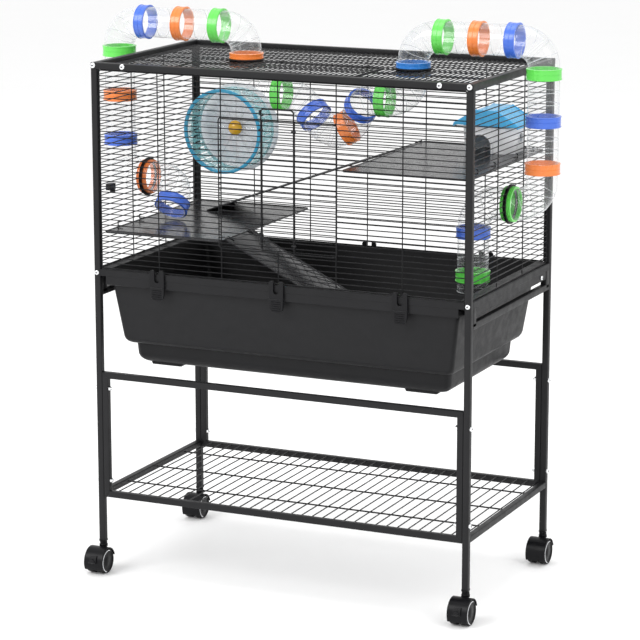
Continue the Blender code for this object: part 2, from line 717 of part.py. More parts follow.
def outer_run(name, side, mat):
    """Roof port, bridge, vertical run and side port, all outside the cage."""
    across = Vector((side, 0, 0))
    run = Tunnel((BASE_XS[name], PORT_Y, TOP_PANEL_Z + GAP), (0, 0, 1))
    run.straight(COLLAR_HALF).ring(ROOF_RING).straight(BRIDGE_Z - BEND_R - run.at.z)
    run.bend(across)
    clear = (RUN_X - BEND_R - abs(run.at.x) - 3 * RING_LENGTH) / 2
    run.ring().straight(clear).ring().straight(clear).ring().bend((0, 0, -1))
    clear = (run.at.z - PORT_Z - BEND_R - 3 * RING_LENGTH - RUN_FOOT) / 2
    run.ring().straight(clear).ring().straight(clear).ring().straight(RUN_FOOT)
    run.bend(-across)
    run.straight(abs(run.at.x) - PANEL_X - GAP - COLLAR_HALF - PORT_RING)
    run.ring(PORT_RING).straight(COLLAR_HALF)
    run.pipe("tunnel_outer_" + name, mat)


def port_start(side):
    """The stretch just inside a side panel, up to where its elbow starts."""
    run = Tunnel((side * (PANEL_X - GAP), PORT_Y, PORT_Z), (-side, 0, 0))
    return run.straight(COLLAR_HALF).ring(PORT_RING).straight(STUB)


def make_tunnels(mats):
    clear = mats["clear"]
    outer_run("left", -1, clear)
    outer_run("right", 1, clear)

    left = port_start(-1).bend((0, -0.69, -0.72)).straight(0.003).ring().straight(0.001)
    left.pipe("tunnel_inner_left", clear)

    right = port_start(1).bend((0, 0, -1))
    right.ring().straight(0.065).ring().straight(0.020)
    right.pipe("tunnel_inner_right", clear)

    loop = Tunnel((BASE_XS["left"], PORT_Y, TOP_PANEL_Z - GAP), (0, 0, -1))
    loop.straight(COLLAR_HALF).ring(PORT_RING).bend((1, 0, 0)).straight(STUB).ring()
    loop.ring_at((-0.025, 0.005, 0.922), (0.74, -0.28, -0.64))
    loop.ring_at((0.044, 0.010, 0.900), (0.86, 0.15, 0.50))
    loop.ring_at((0.079, 0.005, 0.946), (0.65, -0.48, 0.61))
    last = (BASE_XS["right"] - BEND_R - RING_LENGTH / 2, PORT_Y,
            TOP_PANEL_Z - GAP - COLLAR_HALF - PORT_RING - BEND_R)
    loop.ring_at(last, (1, 0, 0)).bend((0, 0, 1)).ring(PORT_RING).straight(COLLAR_HALF)
    loop.pipe("tunnel_roof_loop", clear)


# ---------------------------------------------------------------- platforms and ramps
def make_platforms(mats):
    for name, side, top in (("lower_platform", -1, LOW_PLATFORM_Z),
                            ("upper_platform", 1, HIGH_PLATFORM_Z)):
        xs = sorted((side * PLATFORM_OUT, side * (PLATFORM_OUT - PLATFORM_W)))
        half = PLATFORM_D / 2
        to_object(box((xs[0], -half, top - PLATE), (xs[1], half, top)), name,
                  mats["platform"])


def ramp(name, pivot, heading_x, angle, y_low, mat):
    """A plate hanging from a pivot at a platform's edge, with two low side lips."""
    lip, lip_width = 0.0045, 0.003
    along = Vector((heading_x * math.cos(angle), 0, -math.sin(angle)))
    up = Vector((heading_x * math.sin(angle), 0, math.cos(angle)))
    half = PLATE / 2
    section = [(0, -half), (RAMP_WIDTH, -half), (RAMP_WIDTH, half + lip),
               (RAMP_WIDTH - lip_width, half + lip), (RAMP_WIDTH - lip_width, half),
               (lip_width, half), (lip_width, half + lip), (0, half + lip)]
    start = Vector((pivot[0], y_low, pivot[2])) + along * 0.002
    points = [start + Vector((0, a, 0)) + up * b for a, b in section]
    to_object(extrude_outline(points, along, RAMP_LENGTH - 0.002), name, mat, origin=pivot)


def make_ramps(mats):
    edge = PLATFORM_OUT - PLATFORM_W
    tray_ledge = 0.484 + TRAY_WALL + 0.002
    drop = LOW_PLATFORM_Z - tray_ledge
    ramp("lower_ramp", (-edge + 0.0005, 0, LOW_PLATFORM_Z), 1,
         math.asin(drop / RAMP_LENGTH), -0.1840, mats["platform"])
    drop = HIGH_PLATFORM_Z - LOW_PLATFORM_Z - PLATE / 2 - 0.001
    ramp("upper_ramp", (edge - 0.0005, 0, HIGH_PLATFORM_Z), -1,
         math.asin(drop / RAMP_LENGTH), 0.0850, mats["platform"])


# ---------------------------------------------------------------- exercise wheel
def make_wheel(mats):
    face, back = 0.112, 0.183
    dome_rise = 0.010
    hole = 0.0042
    rotor = [(0.0165, back - 0.006), (0.083, back - 0.006), (0.083, face + 0.006),
             (0.0805, face + 0.005), (0.0805, face), (WHEEL_R, face), (WHEEL_R, face + 0.005),
             (0.0850, face + 0.006), (0.0850, back), (hole, back), (hole, back - 0.004),
             (0.0165, back - 0.004)]
    to_object(turned(rotor, 28, "Y", (WHEEL_X, 0, WHEEL_Z)), "exercise_wheel", mats["cyan"],
              origin=(WHEEL_X, (face + back) / 2, WHEEL_Z), smooth_angle=35)
    front = back - 0.006 - GAP
    dome = [(0, front - 0.002 - dome_rise)]
    for k in range(1, 5):
        turn = math.pi / 2 * k / 4
        dome.append((0.0155 * math.sin(turn), front - 0.002 - dome_rise * math.cos(turn)))
    dome += [(0.0155, front), (hole, front), (hole, front - 0.006), (0, front - 0.006)]
    to_object(turned(dome, 16, "Y", (WHEEL_X, 0, WHEEL_Z)), "exercise_wheel_hub_cap",
              mats["amber"], origin=(WHEEL_X, front, WHEEL_Z), smooth_angle=35)
    pin = hole - GAP
    wall = PANEL_Y - WIRE_PANEL / 2 - GAP
    disc = 0.0920
    stand = [(0, front - 0.005), (pin, front - 0.005), (pin, back + 0.0060),
             (disc, back + 0.0060), (disc, back + 0.0085), (0.022, back + 0.0085),
             (0.022, wall), (0, wall)]
    to_object(turned(stand, 28, "Y", (WHEEL_X, 0, WHEEL_Z)), "exercise_wheel_stand",
              mats["frost"], smooth_angle=35)


# ---------------------------------------------------------------- house
def house_plan(inset, z):
    """The outline of the walls: a rectangle with its corners cut off."""
    half_w, half_d = HOUSE_W / 2 - inset, HOUSE_D / 2 - inset
    cut = HOUSE_CHAMFER - inset * 0.6
    points = []
    for sx, sy, flip in ((1, 1, False), (-1, 1, True), (-1, -1, False), (1, -1, True)):
        pair = [(sx * half_w, sy * (half_d - cut)), (sx * (half_w - cut), sy * half_d)]
        points += pair[::-1] if flip else pair
    return [(HOUSE_X + a, HOUSE_Y + b, z) for a, b in points]


def make_house(mats):
    wall = 0.0022
    low = HIGH_PLATFORM_Z + GAP
    high = low + HOUSE_WALL_H
    room = extrude_outline(house_plan(wall, low - 0.005), (0, 0, 1), HOUSE_WALL_H + 0.010)
    shell = extrude_outline(house_plan(0, low), (0, 0, 1), HOUSE_WALL_H)
    door_x = HOUSE_X - 0.013
    half_door = 0.0230
    arch = [(-half_door, low - 0.004), (half_door, low - 0.004)]
    for k in range(7):
        turn = math.pi * k / 6
        arch.append((half_door * math.cos(turn), low + 0.014 + half_door * math.sin(turn)))
    doorway = extrude_outline([(door_x + a, HOUSE_Y - HOUSE_D / 2 - 0.005, b)
                               for a, b in arch], (0, 1, 0), 0.030)
    joined("house_walls", [shell], [room, doorway], mats["wall"])

    z = high + GAP
    eave_w, eave_d = HOUSE_W / 2 + 0.012, HOUSE_D / 2 + 0.006
    top = z + 0.034
    flat = 0.019
    skin = 0.0025
    outline = [(-eave_w, z), (eave_w, z), (eave_w, z + 0.005), (flat, top), (-flat, top),
               (-eave_w, z + 0.005)]
    cover = extrude_outline([(HOUSE_X + a, HOUSE_Y - eave_d, b) for a, b in outline],
                            (0, 1, 0), 2 * eave_d)
    inner_w = HOUSE_W / 2 - 0.004
    inside = [(-inner_w, z - 0.004), (inner_w, z - 0.004), (inner_w, z + 0.003),
              (flat - skin, top - skin), (-flat + skin, top - skin), (-inner_w, z + 0.003)]
    hollow = extrude_outline([(HOUSE_X + a, HOUSE_Y - eave_d + 0.012, b) for a, b in inside],
                             (0, 1, 0), 2 * eave_d - 0.024)
    joined("house_roof", [cover], [hollow], mats["roof"], origin=(HOUSE_X, HOUSE_Y, z))


CATCH_YZ = (-0.145, 0.775)
CATCH_THICK = 0.012


def make_side_catch(mats):
    """A small catch hanging on the outside of the left panel."""
    x = -PANEL_X - WIRE_PANEL / 2 - GAP
    y, z = CATCH_YZ
    plate = [(-0.0100, -0.006), (0.0060, -0.006), (0.0060, -0.013), (0.0100, -0.013),
             (0.0100, 0.007), (-0.0100, 0.007)]
    prism = extrude_outline([(x, y + a, z + b) for a, b in plate], (-1, 0, 0), CATCH_THICK)
    to_object(prism, "side_catch", mats["plastic"])


def main():
    clear_scene()
    mats = make_materials()
    for make in (make_legs, make_frames, make_casters, make_tray, make_clips, make_panels,
                 make_top_panel, make_front_door, make_collars, make_tunnels, make_platforms,
                 make_ramps, make_wheel, make_house, make_side_catch):
        make(mats)
    for obj in bpy.data.objects:
        obj.location.y += BOX_SHIFT


main()
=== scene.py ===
# Looks of the rolling hamster cage: round wires, clear tunnels with screw rings, tray, casters,
# wheel, house and their materials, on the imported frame.  Shapes are drawn in the cage's own
# coordinates (origin on the floor midway between the legs) and moved to the frame's at the end.
import math

import bmesh
import bpy
from mathutils import Matrix, Vector


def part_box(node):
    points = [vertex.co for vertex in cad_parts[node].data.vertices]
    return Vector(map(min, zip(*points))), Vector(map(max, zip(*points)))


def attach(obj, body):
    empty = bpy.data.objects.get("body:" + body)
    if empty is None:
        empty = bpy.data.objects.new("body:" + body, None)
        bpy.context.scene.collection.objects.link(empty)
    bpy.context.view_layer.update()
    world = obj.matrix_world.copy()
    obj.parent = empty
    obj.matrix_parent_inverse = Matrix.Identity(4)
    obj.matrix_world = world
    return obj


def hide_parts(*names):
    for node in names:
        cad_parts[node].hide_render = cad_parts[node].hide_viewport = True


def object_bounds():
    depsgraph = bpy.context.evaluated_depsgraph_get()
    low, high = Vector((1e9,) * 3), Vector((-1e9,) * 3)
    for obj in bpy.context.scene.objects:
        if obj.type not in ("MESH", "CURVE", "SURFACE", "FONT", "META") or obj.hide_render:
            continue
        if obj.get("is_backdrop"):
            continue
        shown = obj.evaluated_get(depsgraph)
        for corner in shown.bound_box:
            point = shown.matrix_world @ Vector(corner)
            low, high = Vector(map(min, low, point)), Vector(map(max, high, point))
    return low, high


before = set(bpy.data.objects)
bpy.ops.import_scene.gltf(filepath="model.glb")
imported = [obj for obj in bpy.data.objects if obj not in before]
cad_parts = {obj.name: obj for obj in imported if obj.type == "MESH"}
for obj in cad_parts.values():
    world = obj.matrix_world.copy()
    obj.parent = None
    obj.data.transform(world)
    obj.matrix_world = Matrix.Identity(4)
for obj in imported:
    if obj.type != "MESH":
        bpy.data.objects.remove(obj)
cad_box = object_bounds()
SHIFT = Vector((0, (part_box("top_frame")[0].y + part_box("top_frame")[1].y) / 2, 0))


def extent(node):
    """A CAD node's lowest and highest corners in the cage's own coordinates."""
    low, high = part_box(node)
    return low - SHIFT, high - SHIFT


def middle(node):
    low, high = extent(node)
    return (low + high) / 2


# ---------------------------------------------------------------- sizes from the frame
TOP_LOW, TOP_HIGH = extent("top_frame")
LEG_LOW, LEG_HIGH = extent("leg_front_right")
PANEL_LOW, PANEL_HIGH = extent("front_panel")
TRAY_LOW, TRAY_HIGH = extent("tray")
GAP = 0.0003                 # left between pieces that would touch
HALF_W = TOP_HIGH.x
HALF_D = TOP_HIGH.y
TUBE = LEG_HIGH.x - LEG_LOW.x
LEG_X = HALF_W - TUBE / 2
LEG_Y = HALF_D - TUBE / 2
RIM_TOP = TRAY_HIGH.z
PITCH = 0.0108               # between the centres of neighbouring grille wires
WIRE = 0.0010                # radius of a grille wire
CROSS = WIRE * 0.9           # from a grille's middle plane to its wires' centres
EDGE = 0.0015                # radius of the wire round a grille's edge
DOOR_LAP = 0.0045            # how far the front door covers the wires round its opening
ROOF_WIRE = 0.0012           # radius of a roof wire
PORT_REACH = 0.0335          # radius of the hole that a grille leaves round a tunnel
ROOF_ROW_PITCH = 0.070       # between the roof wires that run from side to side
CORNERS = {"front_left": (-1, -1), "front_right": (1, -1),
           "rear_left": (-1, 1), "rear_right": (1, 1)}


# ---------------------------------------------------------------- materials
class Surface:
    """A material under construction, with short ways to add and link its nodes."""

    def __init__(self, name):
        self.mat = bpy.data.materials.new(name)
        self.mat.use_nodes = True
        self.tree = self.mat.node_tree
        self.shader = self.tree.nodes["Principled BSDF"]
        self.output = self.tree.nodes["Material Output"]
        self.place = self.node("ShaderNodeTexCoord").outputs["Object"]

    def node(self, kind, **values):
        made = self.tree.nodes.new(kind)
        for key, value in values.items():
            setattr(made, key, value)
        return made

    def link(self, source, target):
        self.tree.links.new(source, target)

    def noise(self, scale, detail=3.0, stretch=None):
        noise = self.node("ShaderNodeTexNoise")
        noise.inputs["Scale"].default_value = scale
        noise.inputs["Detail"].default_value = detail
        source = self.place
        if stretch:
            mapping = self.node("ShaderNodeMapping")
            mapping.inputs["Scale"].default_value = stretch
            self.link(source, mapping.inputs["Vector"])
            source = mapping.outputs["Vector"]
        self.link(source, noise.inputs["Vector"])
        return noise.outputs["Fac"]

    def spread(self, source, low, high, start=0.3, end=0.7):
        """The source's values between start and end, spread from low to high."""
        spread = self.node("ShaderNodeMapRange")
        spread.inputs["From Min"].default_value = start
        spread.inputs["From Max"].default_value = end
        spread.inputs["To Min"].default_value = low
        spread.inputs["To Max"].default_value = high
        self.link(source, spread.inputs["Value"])
        return spread.outputs["Result"]

    def math(self, kind, first, second):
        made = self.node("ShaderNodeMath", operation=kind)
        for socket, value in zip(made.inputs, (first, second)):
            if isinstance(value, (int, float)):
                socket.default_value = value
            else:
                self.link(value, socket)
        return made.outputs[0]

    def mix(self, factor, first, second):
        made = self.node("ShaderNodeMix", data_type="RGBA")
        self.link(factor, made.inputs["Factor"])
        for socket, value in ((made.inputs["A"], first), (made.inputs["B"], second)):
            if isinstance(value, tuple):
                socket.default_value = (*value, 1.0)
            else:
                self.link(value, socket)
        return made.outputs["Result"]

    def bump(self, height, strength, distance):
        made = self.node("ShaderNodeBump")
        made.inputs["Strength"].default_value = strength
        made.inputs["Distance"].default_value = distance
        self.link(height, made.inputs["Height"])
        self.link(made.outputs["Normal"], self.shader.inputs["Normal"])

    def edges(self, radius):
        """Near 1 along sharp outer edges, 0 on open faces."""
        bevel = self.node("ShaderNodeBevel", samples=4)
        bevel.inputs["Radius"].default_value = radius
        geometry = self.node("ShaderNodeNewGeometry")
        dot = self.node("ShaderNodeVectorMath", operation="DOT_PRODUCT")
        self.link(bevel.outputs["Normal"], dot.inputs[0])
        self.link(geometry.outputs["Normal"], dot.inputs[1])
        return self.spread(dot.outputs["Value"], 1.0, 0.0, 0.75, 0.99)


def tint(colour, factor):
    """A lighter or darker version of a colour."""
    return tuple(min(1.0, c * factor) for c in colour)


def coated(name, colour, roughness, grain, bump, wear=0.0, metallic=0.0, coat=0.0,
           mottle=0.18, scuffs=0.25, shine=0.5):
    """An opaque finish with fine grain, uneven gloss, light scuffs and optional edge wear.

    mottle, scuffs and wear say how far the colour changes; shine is the specular level.
    """
    s = Surface(name)
    uneven = s.noise(28, 4)
    shade = s.mix(uneven, tint(colour, 1 - mottle), tint(colour, 1 + mottle))
    scuff = s.spread(s.noise(90, 6, (1, 1, 0.12)), 0.0, 1.0, 0.60, 0.78)
    shade = s.mix(s.math("MULTIPLY", scuff, scuffs), shade, tint(colour, 1.6))
    if wear:
        worn = s.math("MULTIPLY", s.edges(0.0009), s.spread(s.noise(60), 0.25, 1.0))
        shade = s.mix(s.math("MULTIPLY", worn, wear), shade, tint(colour, 3.0))
    s.link(shade, s.shader.inputs["Base Color"])
    gloss = s.spread(s.noise(55, 5), roughness - 0.06, roughness + 0.07)
    s.link(s.math("ADD", gloss, s.math("MULTIPLY", scuff, 0.07)), s.shader.inputs["Roughness"])
    s.shader.inputs["Metallic"].default_value = metallic
    s.shader.inputs["Specular IOR Level"].default_value = shine
    if coat:
        s.shader.inputs["Coat Weight"].default_value = coat
        s.shader.inputs["Coat Roughness"].default_value = 0.12
    s.bump(s.noise(grain, 2), bump, 0.0002)
    return s.mat


def moulded(name, colour, roughness=0.24, grain=500, coat=0.3, mottle=0.10):
    """Smooth glossy plastic."""
    return coated(name, colour, roughness, grain, 0.06, coat=coat, mottle=mottle)


def see_through(name, body, solidity, rim, roughness):
    """Clear or tinted thin plastic: straight sight through it, gloss, and fuller edges."""
    s = Surface(name)
    facing = s.node("ShaderNodeLayerWeight").outputs["Facing"]
    edge = s.math("POWER", facing, 2.2)
    cloud = s.spread(s.noise(35, 4), 0.85, 1.15)
    dense = s.math("ADD", solidity, s.math("MULTIPLY", edge, rim))
    dense = s.math("MINIMUM", s.math("MULTIPLY", dense, cloud), 1.0)
    s.link(s.mix(s.noise(20, 3), tint(body, 0.92), tint(body, 1.06)),
           s.shader.inputs["Base Color"])
    gloss = s.spread(s.noise(70, 4), roughness, roughness + 0.05)
    s.link(gloss, s.shader.inputs["Roughness"])
    s.bump(s.noise(160, 2), 0.05, 0.0003)
    open_part = s.node("ShaderNodeBsdfTransparent")
    shine = s.node("ShaderNodeBsdfGlossy")
    s.link(gloss, shine.inputs["Roughness"])
    clear = s.node("ShaderNodeMixShader")
    s.link(s.math("ADD", 0.05, s.math("MULTIPLY", s.math("POWER", facing, 4.5), 0.85)),
           clear.inputs["Fac"])
    s.link(open_part.outputs["BSDF"], clear.inputs[1])
    s.link(shine.outputs["BSDF"], clear.inputs[2])
    whole = s.node("ShaderNodeMixShader")
    s.link(dense, whole.inputs["Fac"])
    s.link(clear.outputs["Shader"], whole.inputs[1])
    s.link(s.shader.outputs["BSDF"], whole.inputs[2])
    s.link(whole.outputs["Shader"], s.output.inputs["Surface"])
    return s.mat


MATS = {
    "steel": coated("black_powder_coat", (0.013, 0.013, 0.014), 0.42, 1800, 0.20, wear=0.30,
                    shine=0.18),
    "wire": coated("black_wire", (0.006, 0.006, 0.007), 0.38, 2200, 0.12, shine=0.20),
    "tray": coated("tray_plastic", (0.011, 0.011, 0.012), 0.46, 2400, 0.28, wear=0.25,
                   shine=0.17),
    "clip": coated("clip_plastic", (0.007, 0.007, 0.008), 0.40, 2400, 0.25, wear=0.30,
                   shine=0.17),
    "caster": coated("caster_plastic", (0.004, 0.004, 0.005), 0.33, 2000, 0.15, wear=0.25,
                     shine=0.16),
    "tread": coated("caster_tread", (0.006, 0.006, 0.007), 0.50, 1500, 0.30, shine=0.16),
    # Pale grey for the arcs on the caster wheels' faces: a painted highlight.
    "painted_highlight": coated("painted_highlight_grey", (0.74, 0.75, 0.77), 0.35, 1500, 0.10),
    "platform": coated("grey_platform", (0.024, 0.024, 0.026), 0.20, 700, 0.012, wear=0.15,
                       mottle=0.08, scuffs=0.06, shine=0.30),
    "zinc": coated("zinc_plate", (0.78, 0.79, 0.80), 0.24, 900, 0.10, metallic=1.0,
                   mottle=0.08),
    # Dark metal for the hexagons on the bolt heads: painted shade of the socket recesses.
    "socket": coated("bolt_recess_painted_shade", (0.10, 0.10, 0.11), 0.45, 900, 0.10, metallic=1.0),
    "green": moulded("green_plastic", (0.115, 0.62, 0.085)),
    "orange": moulded("orange_plastic", (0.76, 0.205, 0.040)),
    "blue": moulded("blue_plastic", (0.050, 0.140, 0.60)),
    "azure": moulded("azure_plastic", (0.028, 0.190, 0.560)),
    "clear": see_through("clear_plastic", (0.86, 0.89, 0.91), 0.035, 0.42, 0.03),
    "seam": see_through("clear_seam", (0.80, 0.83, 0.85), 0.28, 0.45, 0.05),
    "teal": moulded("teal_plastic", (0.022, 0.290, 0.480), 0.22),
    "cyan": see_through("cyan_plastic", (0.26, 0.68, 0.72), 0.30, 0.38, 0.12),
    "frost": see_through("frosted_plastic", (0.84, 0.87, 0.91), 0.62, 0.20, 0.25),
    "amber": coated("amber_plastic", (0.69, 0.36, 0.012), 0.16, 400, 0.04, coat=0.6,
                    mottle=0.12),
    "roof": coated("sky_blue_plastic", (0.065, 0.450, 0.800), 0.28, 600, 0.08, coat=0.2,
                   mottle=0.08),
    "wall": moulded("milky_plastic", (0.86, 0.865, 0.88), 0.30, 600, 0.2, 0.06),
}


# ---------------------------------------------------------------- shape tools
def circle(radius, sides, start=0.0):
    return [(radius * math.cos(start + 2 * math.pi * k / sides),
             radius * math.sin(start + 2 * math.pi * k / sides)) for k in range(sides)]


def arc(radius, start, stop, steps, a, b):
    """Points on a circle round (a, b), from one angle in degrees to another."""
    points = []
    for k in range(steps + 1):
        turn = math.radians(start + (stop - start) * k / steps)
        points.append((a + radius * math.cos(turn), b + radius * math.sin(turn)))
    return points


def rounded(half_a, half_b, radius, steps):
    """A rectangle with rounded corners."""
    points = []
    for quarter, (a, b) in enumerate(((1, 1), (-1, 1), (-1, -1), (1, -1))):
        points += arc(radius, 90 * quarter, 90 * quarter + 90, steps, a * (half_a - radius),
                      b * (half_b - radius))
    return points


def bridge(bm, first, after):
    """Four-cornered faces between two rings of points."""
    count = len(first)
    for k in range(count):
        n = (k + 1) % count
        bm.faces.new((first[k], first[n], after[n], after[k]))


def sweep(bm, profile, path, closed=False, side=None):
    """Draws a profile along a path with mitred corners; open ends are capped."""
    path = [Vector(p) for p in path]
    count = len(path)
    legs = [(path[(i + 1) % count] - path[i]).normalized()
            for i in range(count if closed else count - 1)]
    side = Vector(side) if side else legs[0].orthogonal()
    side = (side - legs[0] * side.dot(legs[0])).normalized()
    rings = []
    for i in range(count):
        leg = legs[min(i, len(legs) - 1)]
        before = legs[i - 1] if (closed or i) else leg
        if 0 < i < len(legs):
            side.rotate(before.rotation_difference(leg))
        normal = (before + leg).normalized()
        other = leg.cross(side)
        ring = []
        for a, b in profile:
            reach = side * a + other * b
            reach -= leg * (reach.dot(normal) / leg.dot(normal))
            ring.append(bm.verts.new(path[i] + reach))
        rings.append(ring)
    for i in range(count if closed else count - 1):
        bridge(bm, rings[i], rings[(i + 1) % count])
    if not closed:
        bm.faces.new(rings[0][::-1])
        bm.faces.new(rings[-1])


def rod(bm, path, radius=WIRE, sides=8, closed=False):
    sweep(bm, circle(radius, sides, math.pi / sides), path, closed)


def box(bm, low, high):
    size = Vector(high) - Vector(low)
    centre = (Vector(high) + Vector(low)) / 2
    place = Matrix.Translation(centre) @ Matrix.Diagonal((*size, 1.0))
    bmesh.ops.create_cube(bm, size=1.0, matrix=place)


def prism(bm, points, direction, length):
    face = bm.faces.new([bm.verts.new(p) for p in points])
    made = bmesh.ops.extrude_face_region(bm, geom=[face])
    moved = [g for g in made["geom"] if isinstance(g, bmesh.types.BMVert)]
    bmesh.ops.translate(bm, verts=moved, vec=Vector(direction).normalized() * length)


def turn_to(axis):
    """Rotation that carries +Z to a direction."""
    return Vector((0, 0, 1)).rotation_difference(Vector(axis)).to_matrix().to_4x4()


def turned(bm, profile, sides, axis, centre):
    """Turns (radius, height) pairs round an axis; radius 0 is a point on the axis."""
    place = Matrix.Translation(centre) @ turn_to(axis)
    rings = []
    for radius, height in profile:
        if radius == 0:
            rings.append([bm.verts.new(place @ Vector((0, 0, height)))])
        else:
            rings.append([bm.verts.new(place @ Vector((a, b, height)))
                          for a, b in circle(radius, sides)])
    for i, ring in enumerate(rings):
        after = rings[(i + 1) % len(rings)]
        if len(ring) == len(after) == sides:
            bridge(bm, ring, after)
        elif len(ring) != len(after):
            for k in range(sides):
                n = (k + 1) % sides
                if len(ring) == 1:
                    bm.faces.new((ring[0], after[n], after[k]))
                else:
                    bm.faces.new((ring[k], ring[n], after[0]))


def hoop(bm, inner, outer, low, high, sides, axis, centre):
    """A flat ring between two radii and two heights along its axis."""
    turned(bm, [(inner, low), (outer, low), (outer, high), (inner, high)], sides, axis, centre)


def loft(bm, rings):
    """A shell through rings of equal point counts, capped at both ends."""
    made = [[bm.verts.new(p) for p in ring] for ring in rings]
    bm.faces.new(made[0])
    bm.faces.new(made[-1])
    for lower, upper in zip(made, made[1:]):
        bridge(bm, lower, upper)


def settle(name, bm):
    """Makes an object from a mesh drawn in cage coordinates."""
    bmesh.ops.recalc_face_normals(bm, faces=bm.faces)
    bmesh.ops.translate(bm, verts=bm.verts, vec=SHIFT)
    mesh = bpy.data.meshes.new(name)
    bm.to_mesh(mesh)
    bm.free()
    obj = bpy.data.objects.new(name, mesh)
    bpy.context.collection.objects.link(obj)
    return obj


def piece(name, bm, mat, body="cage", replaces=(), smooth=35, bevel=0.0, cuts=()):
    """Makes a shown object that rides on a body and stands for the nodes it replaces."""
    obj = settle(name, bm)
    obj.data.materials.append(MATS[mat])
    for cut in cuts:
        subtract(obj, cut)
    if bevel:
        modifier = obj.modifiers.new("Edges", "BEVEL")
        modifier.width = bevel
        modifier.segments = 2
        modifier.limit_method = "ANGLE"
        modifier.angle_limit = math.radians(38)
    obj.data.shade_smooth()
    obj.data.set_sharp_from_angle(angle=math.radians(smooth))
    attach(obj, body)
    if replaces:
        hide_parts(*replaces)
    return obj


def subtract(obj, cut):
    """Takes a closed shape, drawn in cage coordinates, out of an object for good."""
    tool = settle("cut", cut)
    modifier = obj.modifiers.new("Cut", "BOOLEAN")
    modifier.operation = "DIFFERENCE"
    modifier.object = tool
    bpy.context.view_layer.update()
    done = obj.evaluated_get(bpy.context.evaluated_depsgraph_get())
    result = bpy.data.meshes.new_from_object(done)
    obj.modifiers.remove(modifier)
    obj.data = result
    bpy.data.objects.remove(tool, do_unlink=True)


# ---------------------------------------------------------------- stand
TUBE_HALF = (TUBE - 0.0001) / 2
TUBE_EDGE = 0.0014
TUBE_SECTION = rounded(TUBE_HALF, TUBE_HALF, TUBE_EDGE, 3)
EAR = 0.0165                 # width of the ears at a tray rail's ends


def tube_bar(bm, start, end):
    """A length of square tube with rounded edges."""
    sweep(bm, TUBE_SECTION, [start, end], side=(1, 0, 0))


def welded_ring(name, centre, half_a, half_b, axis_a, axis_b):
    """Four mitred tubes welded into a rectangle; stands for the node of that name."""
    a, b, c = Vector(axis_a), Vector(axis_b), Vector(centre)
    reach_a, reach_b = half_a - TUBE / 2, half_b - TUBE / 2
    path = [c + a * x + b * y for x, y in ((-reach_a, -reach_b), (reach_a, -reach_b),
                                           (reach_a, reach_b), (-reach_a, reach_b))]
    bm = bmesh.new()
    sweep(bm, TUBE_SECTION, path, closed=True, side=b)
    piece(name + "_tubes", bm, "steel", "cage", [name])
    beads = bmesh.new()
    for x, y in ((-1, -1), (1, -1), (1, 1), (-1, 1)):
        outer = c + a * (x * half_a) + b * (y * half_b)
        inner = c + a * (x * (half_a - TUBE)) + b * (y * (half_b - TUBE))
        across = a.cross(b).normalized() * (TUBE / 2 - 0.0001)
        for lift in (-across, across):
            rod(beads, [outer.lerp(inner, 0.1) + lift, outer.lerp(inner, 0.9) + lift],
                0.00045, 6)
    piece(name + "_weld_seams", beads, "steel")


def straight_tube(node, start, end):
    """The piece for a node that is one length of tube."""
    bm = bmesh.new()
    tube_bar(bm, start, end)
    piece(node + "_tube", bm, "steel", "cage", [node])


def make_stand():
    for name, (sx, sy) in CORNERS.items():
        low, high = extent("leg_" + name)
        x, y = sx * LEG_X, sy * LEG_Y
        straight_tube("leg_" + name, (x, y, low.z), (x, y, high.z))
        cap = bmesh.new()
        sweep(cap, rounded(TUBE / 2 + 0.0006, TUBE / 2 + 0.0006, 0.0018, 3),
              [(x, y, low.z + 0.0002), (x, y, low.z + 0.0042)], side=(1, 0, 0))
        piece("leg_%s_socket" % name, cap, "caster", bevel=0.0004)
    welded_ring("top_frame", (0, 0, (TOP_LOW.z + TOP_HIGH.z) / 2), HALF_W, HALF_D,
                (1, 0, 0), (0, 1, 0))
    for name, side in (("front", -1), ("rear", 1)):
        low, high = extent(name + "_lower_frame")
        welded_ring(name + "_lower_frame", (0, side * LEG_Y, (low.z + high.z) / 2),
                    high.x, (high.z - low.z) / 2, (1, 0, 0), (0, 0, 1))
    for name, side in (("left", -1), ("right", 1)):
        low, high = extent("shelf_rail_" + name)
        z = (low.z + high.z) / 2
        straight_tube("shelf_rail_" + name, (side * LEG_X, low.y, z),
                      (side * LEG_X, high.y, z))
        low, high = extent("tray_rail_" + name)
        bm = bmesh.new()
        z = low.z + TUBE / 2
        inset = high.y - EAR / 2
        for y, ends in ((-inset, (high.z, z)), (inset, (z, high.z))):
            sweep(bm, rounded(EAR / 2, TUBE_HALF, TUBE_EDGE, 3),
                  [(side * LEG_X, y, end) for end in ends], side=(0, 1, 0))
        tube_bar(bm, (side * LEG_X, low.y + 0.0004, z), (side * LEG_X, high.y - 0.0004, z))
        piece("tray_rail_%s_tube" % name, bm, "steel", "cage", ["tray_rail_" + name])


def bolt_head(bm, socket, point, out, radius=0.0056):
    """A button head with a hexagon socket, standing on a face; the socket is not cut but drawn
    as a dark hexagon on top, painted shade of its recess.
    """
    rise, flat, skirt = 0.0034, 0.42, 0.25
    dome = [(0, rise)]
    for k in range(6):
        turn = math.pi / 2 * k / 5
        dome.append((radius * (flat + (1 - flat) * math.sin(turn)),
                     rise * (skirt + (1 - skirt) * math.cos(turn))))
    dome += [(radius, 0.0), (0, 0.0)]
    turned(bm, dome, 20, out, point)
    # The socket's recess is not cut: this dark hexagon on the dome is its painted shade.
    turned(socket, [(0, 0.0002), (0.0019, 0.0002), (0.0019, 0.0007), (0, 0.0007)], 6, out,
           Vector(point) + Vector(out).normalized() * (rise - 0.0005))


def hex_nut(bm, point, out):
    turned(bm, [(0, 0), (0.0050, 0), (0.0052, 0.0006), (0.0052, 0.0036), (0.0044, 0.0042),
                (0, 0.0042)], 6, out, point)
    turned(bm, [(0, 0.004), (0.0026, 0.004), (0.0026, 0.0062), (0.0020, 0.0066),
                (0, 0.0066)], 12, out, point)


